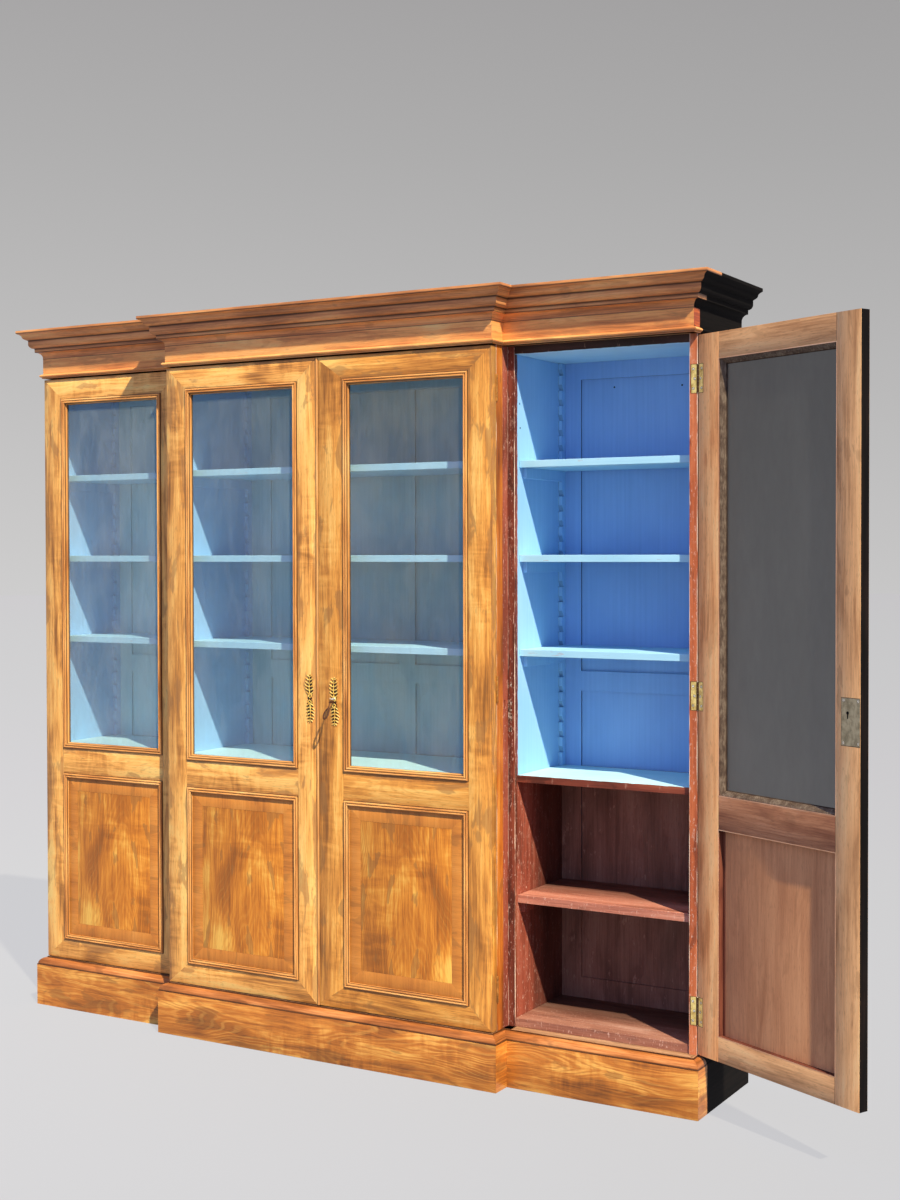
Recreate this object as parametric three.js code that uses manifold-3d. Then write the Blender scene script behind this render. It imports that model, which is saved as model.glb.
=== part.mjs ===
// A breakfront bookcase: three tall cases side by side, on one plinth and under one cornice, with a
// glazed and panelled door on each wing and two on the centre, which stands forward of the wings.
// Millimetres, +Z up. X = 0 is the middle of the width, Y = 0 is the front face of the wing doors,
// Z = 0 is the floor. The right wing door stands open, as an owner would leave it to reach the books.
import * as THREE from "three";
import { mergeVertices } from "three/addons/utils/BufferGeometryUtils.js";
import Module from "manifold-3d";

const wasm = await Module();
wasm.setup();

// Overall sizes
const total_height = 2250;
const centre_width = 1166;
const wing_width = 578;
const case_depth = 350;
const break_depth = 64;

// Clearances
const seat_gap = 0.3;
const overrun = 2;
const bond = 1;

// Plinth
const plinth_height = 158;
const plinth_face_height = 133;
const plinth_projection = 26;
const plinth_board = 30;
const plinth_bearing = 60;
const plinth_lap = 10;
const plinth_fillet = 3;
const plinth_quirk = 2;
const scribe_width = 24;
const scribe_height = 50;
const scribe_shoulder = 14;

// Cornice, from the floor of its frame to its top
const frieze_height = 50;
const frieze_projection = 3;
const frieze_board = 22;
const cornice_bearing = 62;
const cornice_bearing_height = 25;
const necking_height = 14;
const necking_projection = 9;
const necking_fillet = 3;
const cove_height = 17;
const cove_run = 18;
const lower_fillet = 14;
const ovolo_height = 15;
const ovolo_run = 14;
const middle_fillet = 7;
const cyma_height = 27;
const cyma_run = 27;
const top_fillet = 12;
const step_run = 1;
const cyma_swell_share = 0.13;
const curve_steps = 6;

// Cases
const side_thickness = 23;
const top_thickness = 22;
const floor_thickness = 24;
const fixed_shelf_thickness = 20;
const fixed_shelf_top = 876;
const top_setback = 3;
const floor_setback = 5;
const fixed_shelf_setback = 13;
const housing_depth = 7;
const cases_gap = 0.6;

// Panelled backs
const back_thickness = 20;
const back_inset = 4;
const back_rebate = 9;
const back_field_depth = 6;
const back_outer_field_depth = 5;
const back_top_rail = 50;
const back_mid_rail = 59;
const back_mid_rail_height = 1129;
const back_bottom_rail = 62;
const wing_back_stile = 64;
const centre_back_stile = 90;
const centre_back_muntin = 62;
const centre_muntin_shift = 60;

// Adjustable shelves and what carries them
const shelf_thickness = 20;
const shelf_setback = 28;
const shelf_side_gap = 0.8;
const notch_pitch = 44.8;
const shelf_shares = [0.31, 0.54, 0.77];
const first_notch = 2;
const strip_thickness = 13;
const strip_width = 24;
const notch_depth = 10;
const notch_rise = 20;
const bearer_height = 30;
const bearer_setback = 22;
const low_shelf_thickness = 23;
const low_shelf_top = 534;
const low_shelf_setback = 14;

// Doors
const door_thickness = 29;
const door_floor_gap = 3;
const door_head_gap = 5;
const hinge_gap = 0.6;
const wing_door_edge_gap = 2.7;
const meeting_gap = 1;
const meeting_shift = 15;
const stile_width = 75;
const meeting_reach = 82;
const top_rail_width = 66;
const lock_rail_width = 82;
const bottom_rail_width = 63;
const lower_panel_height = 557;
const right_door_open = THREE.MathUtils.degToRad(154);

// Reeded moulding round pane and panel, planted on the door frame
const reed_width = 5;
const reed_height = 3.5;
const reed_count = 3;
const reed_sides = 5;
const bevel_width = 5;
const bevel_depth = 6;
const moulding_cover = 5;
const lip_depth = 9;
const pane_thickness = 3;
const panel_thickness = 10;
const infill_gap = 0.5;
const bead_width = 12;
const bead_height = 3;

// Butt hinges
const hinge_height = 76;
const hinge_inset = 116;
const leaf_width = 21;
const leaf_thickness = 2;
const knuckle_radius = 3.5;
const knuckle_count = 5;
const knuckle_gap = 0.3;
const knuckle_clearance = 0.6;
const hinge_pin_radius = 1.5;
const pin_outset = 1.5;
const round_sides = 16;

// Locks, keyholes and the key
const wing_keyhole_height = 1121;
const centre_keyhole_height = 1070;
const wing_backset = 40;
const centre_backset = 65;
const lock_plate_above = 36;
const lock_plate_below = 79;
const lock_plate_beyond = 20;
const lock_plate_thickness = 2;
const lock_case_depth = 16;
const lock_case_inset = 6;
const bolt_height = 24;
const bolt_thickness = 8;
const bolt_length = 30;
const bolt_drop = 30;
const bolt_inset = 12;
const bolt_throw = 10;
const bolt_clearance = 0.5;
const keyhole_radius = 3.4;
const keyhole_slot = 2.8;
const keyhole_drop = 11;
const key_shank_radius = 2.4;
const key_reach = 24;
const key_bit_length = 7;
const key_bit_thickness = 1.8;
const key_bit_width = 6;
const bit_room_radius = 11;
const key_fork_width = 8;
const key_fork_length = 9;
const key_fork_height = 6;
const key_eye_width = 2.6;
const key_eye_radius = 3;
const key_pin_radius = 1.2;
const key_pin_clearance = 0.35;
const bow_stem_length = 12;
const bow_thickness = 2.4;
const bow_width = 22;
const bow_length = 27;
const bow_rim = 4;
const bow_hang = THREE.MathUtils.degToRad(50);

// Escutcheons
const escutcheon_height = 146;
const escutcheon_width = 27;
const escutcheon_thickness = 2.5;
const escutcheon_lobes = 9;
const lobe_depth_share = 0.3;
const escutcheon_tip_share = 0.18;
const escutcheon_waist_share = 0.62;
const waist_reach_share = 0.2;
const eyelet_radius = 2.6;
const eyelet_rise = 26;
const left_escutcheon_inset = 22;
const left_escutcheon_height = 1077;

// Finishes
const finishes = {
  mahogany: { color: 0xc8863f, roughness: 0.4, metalness: 0 },
  flame_veneer: { color: 0xc47c35, roughness: 0.35, metalness: 0 },
  case_wood: { color: 0x7b3b2b, roughness: 0.7, metalness: 0 },
  blue_paint: { color: 0x6fb4d8, roughness: 0.65, metalness: 0 },
  brass: { color: 0xc9b468, roughness: 0.35, metalness: 1 },
  lock_brass: { color: 0x8b8468, roughness: 0.5, metalness: 1 },
  iron: { color: 0x4a3a30, roughness: 0.6, metalness: 1 },
  glass: { color: 0x9fb0b4, roughness: 0.05, metalness: 0 },
};

// Places worked out from the sizes
const half_centre = centre_width / 2;
const half_total = half_centre + wing_width;
const crown_height =
  cove_height + lower_fillet + ovolo_height + middle_fillet + cyma_height + top_fillet;
const cornice_floor = total_height - crown_height - frieze_height - necking_height;
const case_floor = plinth_height + seat_gap;
const case_top = cornice_floor - seat_gap;
const wing_front = door_thickness + hinge_gap;
const centre_front = wing_front - break_depth;
const back_front = case_depth - back_inset - back_thickness;
const ceiling = case_top - top_thickness;
const floor_top = case_floor + floor_thickness;
const door_bottom = plinth_height + door_floor_gap;
const door_top = cornice_floor - door_head_gap;
const moulding_width = reed_count * reed_width + bevel_width;

// An ordered pair, whichever way round its ends are given.
function span(a, b) {
  return [Math.min(a, b), Math.max(a, b)];
}

// Makes a closed solid of corner points and triangles, with its faces turned outwards.
function closedSolid(points, triangles) {
  const sixfold = triangles.reduce(
    (sum, [a, b, c]) => sum + points[a].clone().cross(points[b]).dot(points[c]),
    0,
  );
  const outward = sixfold > 0 ? triangles : triangles.map(([a, b, c]) => [a, c, b]);
  const vertProperties = new Float32Array(points.flatMap((point) => point.toArray()));
  const triVerts = new Uint32Array(outward.flat());
  return new wasm.Manifold(new wasm.Mesh({ numProp: 3, vertProperties, triVerts }));
}

// Makes a solid of a three.js geometry.
function solidOf(geometry) {
  geometry.deleteAttribute("normal");
  geometry.deleteAttribute("uv");
  const merged = mergeVertices(geometry);
  const vertProperties = new Float32Array(merged.attributes.position.array);
  const triVerts = new Uint32Array(merged.index.array);
  return new wasm.Manifold(new wasm.Mesh({ numProp: 3, vertProperties, triVerts }));
}

function joined(...solids) {
  return solids.reduce((whole, solid) => whole.add(solid));
}

function cut(solid, ...tools) {
  return tools.reduce((rest, tool) => rest.subtract(tool), solid);
}

// A board or block between two planes on each axis.
function block([x0, x1], [y0, y1], [z0, z1]) {
  const box = new THREE.BoxGeometry(x1 - x0, y1 - y0, z1 - z0);
  box.translate((x0 + x1) / 2, (y0 + y1) / 2, (z0 + z1) / 2);
  return solidOf(box);
}

// The three planes that outlines are drawn in: seen from above, from the front and from the right.
const right = new THREE.Vector3(1, 0, 0);
const rear = new THREE.Vector3(0, 1, 0);
const up = new THREE.Vector3(0, 0, 1);
const plan = new THREE.Matrix4();
const elevation = new THREE.Matrix4().makeBasis(right, up, rear.clone().negate());
const section = new THREE.Matrix4().makeBasis(rear, up, right);

function outlineOf(points) {
  return points.map(([x, y]) => new THREE.Vector2(x, y));
}

// An outline with holes, drawn in one of the planes and made thick from one depth to another.
function plate(outline, holes, [from, to], plane) {
  const shape = new THREE.Shape(outlineOf(outline));
  shape.holes = holes.map((hole) => new THREE.Path(outlineOf(hole)));
  const geometry = new THREE.ExtrudeGeometry(shape, {
    depth: to - from,
    bevelEnabled: false,
    curveSegments: 1,
  });
  geometry.translate(0, 0, from);
  geometry.applyMatrix4(plane);
  return solidOf(geometry);
}

// Points on a round or oval, counted from an angle to another.
function roundPoints([x, y], [rx, ry], from, to, steps) {
  return Array.from({ length: steps + 1 }, (_, i) => {
    const angle = from + ((to - from) * i) / steps;
    return [x + rx * Math.cos(angle), y + ry * Math.sin(angle)];
  });
}

function circle(centre, radius, sides = round_sides) {
  return roundPoints(centre, [radius, radius], 0, Math.PI * 2, sides).slice(0, -1);
}

// Carries a moulding's profile along a path and mitres it at every corner. A profile point is
// [out, rise]: out is measured to the right of the way the path runs, rise out of its plane.
function mitredRun(path, profile, closed, plane) {
  const corners = outlineOf(path);
  const count = corners.length;
  const legSide = (i) => {
    const way = corners[(i + 1) % count].clone().sub(corners[i % count]).normalize();
    return new THREE.Vector2(way.y, -way.x);
  };
  const points = corners.flatMap((corner, i) => {
    const before = legSide(!closed && i === 0 ? i : i + count - 1);
    const after = legSide(!closed && i === count - 1 ? i - 1 : i);
    const mitre = before.clone().add(after).divideScalar(1 + before.dot(after));
    return profile.map(([out, rise]) =>
      new THREE.Vector3(corner.x + mitre.x * out, corner.y + mitre.y * out, rise)
        .applyMatrix4(plane),
    );
  });
  const edge = profile.length;
  const triangles = [];
  for (let i = 0; i < (closed ? count : count - 1); i++) {
    const near = i * edge;
    const far = ((i + 1) % count) * edge;
    for (let j = 0; j < edge; j++) {
      const next = (j + 1) % edge;
      triangles.push([near + j, far + j, far + next], [near + j, far + next, near + next]);
    }
  }
  if (!closed) {
    const ends = endTriangles(profile);
    const last = (count - 1) * edge;
    triangles.push(...ends);
    triangles.push(...ends.map(([a, b, c]) => [last + a, last + c, last + b]));
  }
  return closedSolid(points, triangles);
}

// Fills a profile with triangles that turn the same way as the profile does.
function endTriangles(profile) {
  const outline = outlineOf(profile);
  const turn = Math.sign(THREE.ShapeUtils.area(outline));
  return THREE.ShapeUtils.triangulateShape(outline, []).map(([a, b, c]) => {
    const same = Math.sign(THREE.ShapeUtils.area([outline[a], outline[b], outline[c]])) === turn;
    return same ? [a, b, c] : [a, c, b];
  });
}

// A round bar or hole along an axis: "x", "y" or "z".
function rod(centre, radius, [from, to], axis, sides = round_sides) {
  const bar = new THREE.CylinderGeometry(radius, radius, to - from, sides);
  bar.translate(0, (from + to) / 2, 0);
  const turns = { x: [0, 0, -Math.PI / 2], y: [0, 0, 0], z: [Math.PI / 2, 0, 0] };
  const [rx, ry, rz] = turns[axis];
  bar.applyMatrix4(new THREE.Matrix4().makeRotationFromEuler(new THREE.Euler(rx, ry, rz)));
  bar.translate(...centre);
  return solidOf(bar);
}

// Turns a solid into a named mesh with a finish of its own and hangs it in a group.
function addPiece(group, name, solid, finish) {
  const made = solid.getMesh();
  const geometry = new THREE.BufferGeometry();
  geometry.setAttribute("position", new THREE.BufferAttribute(made.vertProperties, made.numProp));
  geometry.setIndex(new THREE.BufferAttribute(made.triVerts, 1));
  geometry.computeVertexNormals();
  const mesh = new THREE.Mesh(geometry, new THREE.MeshStandardMaterial(finishes[finish]));
  mesh.name = name;
  group.add(mesh);
}

// The plan of the whole piece: its corners from the back left round the front to the back right,
// moved outwards by a distance. Less than nothing is inwards.
function planCorners(out, back) {
  return [
    [-half_total - out, back],
    [-half_total - out, -out],
    [-half_centre - out, -out],
    [-half_centre - out, -break_depth - out],
    [half_centre + out, -break_depth - out],
    [half_centre + out, -out],
    [half_total + out, -out],
    [half_total + out, back],
  ];
}

// A ring of boards that follows the plan, between two distances out.
function planRing(outer, inner, rail, [z0, z1]) {
  return plate(planCorners(outer, case_depth), [planCorners(inner, case_depth - rail)], [z0, z1], plan);
}

const bookcase = new THREE.Group();

// Plinth frame: face boards that follow the break, a bearing ring on top that the cases stand on, and
// cross bearers under the case sides and the middle. The foot of the left wing's face board is cut
// away beside the break, to clear a skirting.
function plinthFrame() {
  const face = planRing(
    plinth_projection,
    plinth_projection - plinth_board,
    plinth_board,
    [0, plinth_face_height],
  );
  const bearing = planRing(
    -seat_gap,
    -plinth_bearing,
    plinth_bearing,
    [plinth_face_height - plinth_lap, plinth_height],
  );
  const rear = case_depth - plinth_board / 2;
  const bearers = [-half_centre - plinth_projection, half_centre + plinth_projection - plinth_board].map(
    (x) => block([x, x + plinth_board], [seat_gap, rear], [0, plinth_height]),
  );
  const middle = block(
    [-plinth_board / 2, plinth_board / 2],
    [seat_gap - break_depth, rear],
    [0, plinth_height],
  );
  const corner = -half_centre - plinth_projection;
  const scribe = plate(
    [
      [corner, -overrun],
      [corner, scribe_height],
      [corner - scribe_width, scribe_shoulder],
      [corner - scribe_width, -overrun],
    ],
    [],
    [-plinth_board, plinth_projection + overrun],
    elevation,
  );
  return cut(joined(face, bearing, ...bearers, middle), scribe);
}

// Plinth moulding: a small ovolo that sits in the rebate between face boards and bearing ring.
function plinthMoulding() {
  const seat = plinth_face_height + seat_gap;
  const face = plinth_projection - plinth_quirk;
  const shoulder = plinth_height - plinth_fillet;
  const curve = roundPoints(
    [0, seat + plinth_quirk],
    [face - plinth_quirk, shoulder - seat - plinth_quirk],
    Math.PI / 2,
    0,
    curve_steps,
  ).slice(1, -1);
  const profile = [
    [0, seat],
    [0, plinth_height],
    [plinth_quirk, plinth_height],
    [plinth_quirk, shoulder],
    ...curve.map(([out, rise]) => [out + plinth_quirk, rise]),
    [face, seat + plinth_quirk],
    [plinth_projection, seat + plinth_quirk],
    [plinth_projection, seat],
  ];
  return mitredRun(planCorners(0, case_depth), profile, false, plan);
}

// Cornice frame: frieze boards on a flat bearing ring that lies on the case tops, with the necking
// moulding planted round the bottom of the frieze.
function corniceFrame() {
  const frieze = planRing(
    frieze_projection,
    frieze_projection - frieze_board,
    frieze_board,
    [cornice_floor, total_height],
  );
  const bearing = planRing(
    frieze_projection,
    -cornice_bearing,
    cornice_bearing,
    [cornice_floor, cornice_floor + cornice_bearing_height],
  );
  const round_foot = cornice_floor + necking_fillet;
  const round_rise = (necking_height - necking_fillet) / 2;
  const astragal = roundPoints(
    [frieze_projection, round_foot + round_rise],
    [necking_projection, round_rise],
    -Math.PI / 2,
    Math.PI / 2,
    curve_steps,
  );
  const profile = [
    [-bond, cornice_floor],
    [frieze_projection + necking_fillet, cornice_floor],
    [frieze_projection + necking_fillet, round_foot],
    ...astragal.slice(1, -1),
    [frieze_projection, cornice_floor + necking_height],
    [-bond, cornice_floor + necking_height],
  ];
  return joined(frieze, bearing, mitredRun(planCorners(0, case_depth), profile, false, plan));
}

// Crown moulding: cove, fillet, ovolo, fillet, cyma and top fillet, one above the other, each standing
// a little further out, with its back against the frieze.
function crownMoulding() {
  const quarter = Math.PI / 2;
  let out = frieze_projection;
  let rise = total_height - crown_height;
  const cove = roundPoints(
    [out + cove_run, rise],
    [cove_run, cove_height],
    Math.PI,
    quarter,
    curve_steps,
  );
  out += cove_run + step_run;
  rise += cove_height;
  const fillet = [
    [out, rise],
    [out, rise + lower_fillet],
  ];
  out += step_run;
  rise += lower_fillet;
  const ovolo = roundPoints([out, rise + ovolo_height], [ovolo_run, ovolo_height], -quarter, 0, curve_steps);
  out += ovolo_run;
  rise += ovolo_height + middle_fillet;
  const cyma = Array.from({ length: curve_steps + 1 }, (_, i) => {
    const share = i / curve_steps;
    const swell = cyma_swell_share * Math.sin(share * Math.PI * 2);
    return [out + step_run + cyma_run * (share + swell), rise + cyma_height * share];
  });
  const lip = out + step_run + cyma_run;
  const back = frieze_projection + seat_gap;
  const profile = [
    [back, total_height - crown_height],
    ...cove.slice(1),
    ...fillet,
    ...ovolo,
    [out, rise],
    ...cyma,
    [lip, total_height],
    [back, total_height],
  ];
  return mitredRun(planCorners(0, case_depth), profile, false, plan);
}

addPiece(bookcase, "plinth_frame", plinthFrame(), "mahogany");
addPiece(bookcase, "plinth_moulding", plinthMoulding(), "mahogany");
addPiece(bookcase, "cornice_frame", corniceFrame(), "mahogany");
addPiece(bookcase, "crown_moulding", crownMoulding(), "mahogany");

// Cases. Each one names its outer planes, the plane of its front edges and how its back is divided.
const wing_fields = (left, right) => [[left + wing_back_stile, right - wing_back_stile]];
const centre_fields = (left, right) => [
  [left + centre_back_stile, centre_muntin_shift - centre_back_muntin / 2],
  [centre_muntin_shift + centre_back_muntin / 2, right - wing_back_stile],
];
const cases = [
  {
    name: "left",
    sides: ["left_side", "left_inner_side"],
    planes: [-half_total, -half_centre - cases_gap],
    front: wing_front,
    fields: wing_fields,
  },
  {
    name: "centre",
    sides: ["centre_left_side", "centre_right_side"],
    planes: [-half_centre, half_centre],
    front: centre_front,
    fields: centre_fields,
  },
  {
    name: "right",
    sides: ["right_inner_side", "right_side"],
    planes: [half_centre + cases_gap, half_total],
    front: wing_front,
    fields: wing_fields,
  },
];
const notch_count = Math.floor((ceiling - fixed_shelf_top) / notch_pitch);
const shelf_tops = shelf_shares.map(
  (share) => fixed_shelf_top + Math.round(share * notch_count) * notch_pitch,
);

// The notched edge of a shelf strip, from the fixed shelf up to the case top, as seen from the side.
// Each notch has a level ledge for a bearer and slopes out again above it.
function stripOutline() {
  const rear = back_front - seat_gap;
  const edge = rear - strip_width;
  const foot = fixed_shelf_top + seat_gap;
  const head = ceiling - seat_gap;
  const ledge_drop = shelf_thickness + seat_gap + bearer_height;
  const outline = [
    [rear, head],
    [rear, foot],
    [edge, foot],
  ];
  for (let count = first_notch; ; count++) {
    const ledge = fixed_shelf_top + count * notch_pitch - ledge_drop;
    if (ledge + notch_rise > head - bond) break;
    outline.push([edge, ledge], [edge + notch_depth, ledge], [edge, ledge + notch_rise]);
  }
  outline.push([edge, head]);
  return outline;
}

// A case side: its board, with housings for the fixed boards and a rebate for the back, the notched
// strip in the back corner and the bearers of the adjustable shelves.
function caseSide(outer, inward, front) {
  const inner = outer + inward * side_thickness;
  const housed = (low, high, setback) =>
    block(
      span(inner + inward * overrun, inner - inward * housing_depth),
      [front + setback - seat_gap, case_depth - back_inset],
      [low, high],
    );
  const strip = plate(
    stripOutline(),
    [],
    span(inner - inward * bond, inner + inward * strip_thickness),
    section,
  );
  const bearerUnder = (top, setback) =>
    block(
      span(inner - inward * bond, inner + inward * strip_thickness),
      [front + setback + bearer_setback, back_front - strip_width + notch_depth],
      [top - seat_gap - bearer_height, top - seat_gap],
    );
  const bearers = shelf_tops.map((top) => bearerUnder(top - shelf_thickness, shelf_setback));
  const low_bearer = bearerUnder(low_shelf_top - low_shelf_thickness, low_shelf_setback);
  const board = cut(
    block(span(outer, inner), [front, case_depth], [case_floor, case_top]),
    housed(case_floor - overrun, floor_top + seat_gap, floor_setback),
    housed(
      fixed_shelf_top - fixed_shelf_thickness - seat_gap,
      fixed_shelf_top + seat_gap,
      fixed_shelf_setback,
    ),
    housed(ceiling - seat_gap, case_top + overrun, top_setback),
    block(
      span(inner + inward * overrun, inner - inward * back_rebate),
      [back_front - seat_gap, case_depth + overrun],
      [case_floor - overrun, case_top + overrun],
    ),
  );
  return joined(board, strip, ...bearers, low_bearer);
}

// A fixed board, with its ends in the housings of both sides.
function housedBoard(left, right, front, [low, high]) {
  return block(
    [left - housing_depth + seat_gap, right + housing_depth - seat_gap],
    [front, back_front - seat_gap],
    [low, high],
  );
}

// A framed and panelled back: one slab with sunk fields on both faces, held in the side rebates.
function panelledBack(left, right, columns) {
  const slab = block(
    [left - back_rebate + seat_gap, right + back_rebate - seat_gap],
    [back_front, back_front + back_thickness],
    [case_floor, case_top],
  );
  const rows = [
    [floor_top + back_bottom_rail, back_mid_rail_height - back_mid_rail / 2],
    [back_mid_rail_height + back_mid_rail / 2, ceiling - back_top_rail],
  ];
  const fields = rows.flatMap((row) =>
    columns.flatMap((column) => [
      block(column, [back_front - overrun, back_front + back_field_depth], row),
      block(
        column,
        [back_front + back_thickness - back_outer_field_depth, back_front + back_thickness + overrun],
        row,
      ),
    ]),
  );
  return cut(slab, ...fields);
}

// An adjustable shelf that rests on its bearers, with its back corners cut out round the strips.
function looseShelf(left, right, front, top, thickness, notched) {
  const board = block(
    [left + shelf_side_gap, right - shelf_side_gap],
    [front, back_front - seat_gap - bond],
    [top - thickness, top],
  );
  if (!notched) return board;
  const corner = (x, inward) =>
    block(
      span(x - inward * overrun, x + inward * (strip_thickness + shelf_side_gap)),
      [back_front - strip_width - bond, back_front],
      [top - thickness - overrun, top + overrun],
    );
  return cut(board, corner(left, 1), corner(right, -1));
}

// Where a hinge knuckle turns beside a case side, its front corner is cut round.
function knuckleRoom(pin) {
  const radius = knuckle_radius + knuckle_clearance;
  return hinge_heights.map((height) =>
    rod(
      [pin[0], pin[1], 0],
      radius,
      [height - hinge_height / 2 - knuckle_clearance, height + hinge_height / 2 + knuckle_clearance],
      "z",
    ),
  );
}

const low_hinge = door_bottom + hinge_inset;
const high_hinge = door_top - hinge_inset;
const hinge_heights = [low_hinge, (low_hinge + high_hinge) / 2, high_hinge];
const wing_pin_y = door_thickness + hinge_gap / 2;
const centre_pin_y = wing_pin_y - break_depth;
const pins = {
  left: [-half_total - pin_outset, wing_pin_y],
  centre_left: [-half_centre - pin_outset, centre_pin_y],
  centre_right: [half_centre + pin_outset, centre_pin_y],
  right: [half_total + pin_outset, wing_pin_y],
};

// A hinge leaf seen as a recess or as a plate: how far it lies over the edge that it is let into.
function leafBlock(pin_x, inward, depth, height, play) {
  return block(
    span(pin_x + inward * (pin_outset - overrun), pin_x + inward * (pin_outset + leaf_width + play)),
    depth,
    [height - hinge_height / 2 - play, height + hinge_height / 2 + play],
  );
}

// What is cut out of each case side besides its housings.
const strike_height = wing_keyhole_height - bolt_drop - bolt_height / 2;
const bolt_y = [
  wing_pin_y - hinge_gap / 2 - bolt_inset - bolt_thickness,
  wing_pin_y - hinge_gap / 2 - bolt_inset,
];
const side_cuts = {
  left_side: knuckleRoom(pins.left),
  centre_left_side: knuckleRoom(pins.centre_left),
  centre_right_side: [
    ...knuckleRoom(pins.centre_right),
    block(
      [half_centre - bolt_throw - bolt_clearance, half_centre + overrun],
      [bolt_y[0] - bolt_clearance, bolt_y[1] + bolt_clearance],
      [strike_height - bolt_height / 2 - bolt_clearance, strike_height + bolt_height / 2 + bolt_clearance],
    ),
  ],
  right_side: [
    ...knuckleRoom(pins.right),
    ...hinge_heights.map((height) =>
      leafBlock(
        pins.right[0],
        -1,
        [wing_front - overrun, wing_front + leaf_thickness + seat_gap],
        height,
        seat_gap,
      ),
    ),
  ],
};

for (const { name, sides, planes, front, fields } of cases) {
  const left = planes[0] + side_thickness;
  const right = planes[1] - side_thickness;
  sides.forEach((side, i) => {
    const solid = caseSide(planes[i], i === 0 ? 1 : -1, front);
    addPiece(bookcase, side, cut(solid, ...(side_cuts[side] ?? [])), "case_wood");
  });
  const boards = [
    ["top", top_setback, [ceiling, case_top], "blue_paint"],
    ["floor", floor_setback, [case_floor, floor_top], "case_wood"],
    [
      "fixed_shelf",
      fixed_shelf_setback,
      [fixed_shelf_top - fixed_shelf_thickness, fixed_shelf_top],
      "blue_paint",
    ],
  ];
  for (const [board, setback, levels, finish] of boards) {
    addPiece(bookcase, `${name}_${board}`, housedBoard(left, right, front + setback, levels), finish);
  }
  addPiece(bookcase, `${name}_back`, panelledBack(left, right, fields(left, right)), "blue_paint");
  shelf_tops.forEach((top, i) => {
    const shelf = looseShelf(left, right, front + shelf_setback, top, shelf_thickness, true);
    addPiece(bookcase, `${name}_shelf_${i + 1}`, shelf, "blue_paint");
  });
  const low_shelf = looseShelf(
    left,
    right,
    front + low_shelf_setback,
    low_shelf_top,
    low_shelf_thickness,
    false,
  );
  addPiece(bookcase, `${name}_low_shelf`, low_shelf, "case_wood");
}

// Doors. A door is drawn with its hinge pin at X = Y = 0: it runs to the right of it when hand is 1
// and to the left when hand is -1, and its front face looks along -Y.
const door_back = -hinge_gap / 2;
const door_face = door_back - door_thickness;
const wing_door_width = wing_width - wing_door_edge_gap;
const doors = {
  left: { hand: 1, width: wing_door_width, free_stile: stile_width },
  centre_left: {
    hand: 1,
    width: half_centre - meeting_shift - meeting_gap / 2,
    free_stile: meeting_reach - meeting_shift - meeting_gap / 2,
  },
  centre_right: {
    hand: -1,
    width: half_centre + meeting_shift - meeting_gap / 2,
    free_stile: meeting_reach + meeting_shift - meeting_gap / 2,
  },
  right: { hand: -1, width: wing_door_width, free_stile: stile_width },
};

// The reeded moulding's profile. Out runs from its outer edge into the opening, rise is measured
// forward from the door's face.
function reedProfile() {
  const reeds = Array.from({ length: reed_count }, (_, i) =>
    roundPoints(
      [(i + 0.5) * reed_width, 0],
      [reed_width / 2, reed_height],
      Math.PI,
      0,
      reed_sides,
    ).slice(i === 0 ? 0 : 1),
  ).flat();
  return [
    ...reeds,
    [moulding_width, -bevel_depth],
    [moulding_width, -lip_depth],
    [0, -lip_depth],
  ];
}

// The two openings of a door, as their moulding's outer edges.
function openings({ hand, width, free_stile }) {
  const x = span(hand * (pin_outset + stile_width), hand * (pin_outset + width - free_stile));
  const panel_foot = door_bottom + bottom_rail_width;
  const panel_head = panel_foot + lower_panel_height;
  return {
    pane: [x, [panel_head + lock_rail_width, door_top - top_rail_width]],
    panel: [x, [panel_foot, panel_head]],
  };
}

function inset([low, high], by) {
  return [low + by, high - by];
}

// A door frame: stiles and rails, with the reeded mouldings round both openings, and the knuckles of
// its hinges where the leaves themselves aren't pieces of their own.
function doorFrame(door) {
  const { hand, width } = door;
  const x = span(hand * pin_outset, hand * (pin_outset + width));
  const parts = Object.values(openings(door));
  const slab = block(x, [door_face, door_back], [door_bottom, door_top]);
  const sights = parts.map(([across, rise]) =>
    block(
      inset(across, moulding_cover),
      [door_face - overrun, door_back + overrun],
      inset(rise, moulding_cover),
    ),
  );
  const forward = elevation.clone().setPosition(0, door_face, 0);
  const mouldings = parts.map(([[x0, x1], [z0, z1]]) =>
    mitredRun(
      [
        [x0, z0],
        [x0, z1],
        [x1, z1],
        [x1, z0],
      ],
      reedProfile(),
      true,
      forward,
    ),
  );
  return joined(cut(slab, ...sights), ...mouldings);
}

// What fills an opening, behind the moulding's lip.
function infill([across, rise], thickness) {
  const front = door_face + lip_depth + seat_gap;
  return block(
    inset(across, moulding_cover + infill_gap),
    [front, front + thickness],
    inset(rise, moulding_cover + infill_gap),
  );
}

// Knuckles of the three hinges of a door whose leaves are let into the wood.
function plainKnuckles() {
  return hinge_heights.map((height) =>
    rod([0, 0, 0], knuckle_radius, [height - hinge_height / 2, height + hinge_height / 2], "z"),
  );
}

// The bead that is worked on the meeting edge of the right centre door.
function meetingBead({ hand, width }) {
  const edge = hand * (pin_outset + width);
  const near = edge - hand * bead_width;
  const centre = (edge + near) / 2;
  const outline = [
    ...roundPoints([centre, door_face], [bead_width / 2, -bead_height], 0, Math.PI, curve_steps),
    [Math.min(edge, near), door_face + bond],
    [Math.max(edge, near), door_face + bond],
  ];
  return plate(outline.reverse(), [], [door_bottom, door_top], plan);
}

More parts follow.
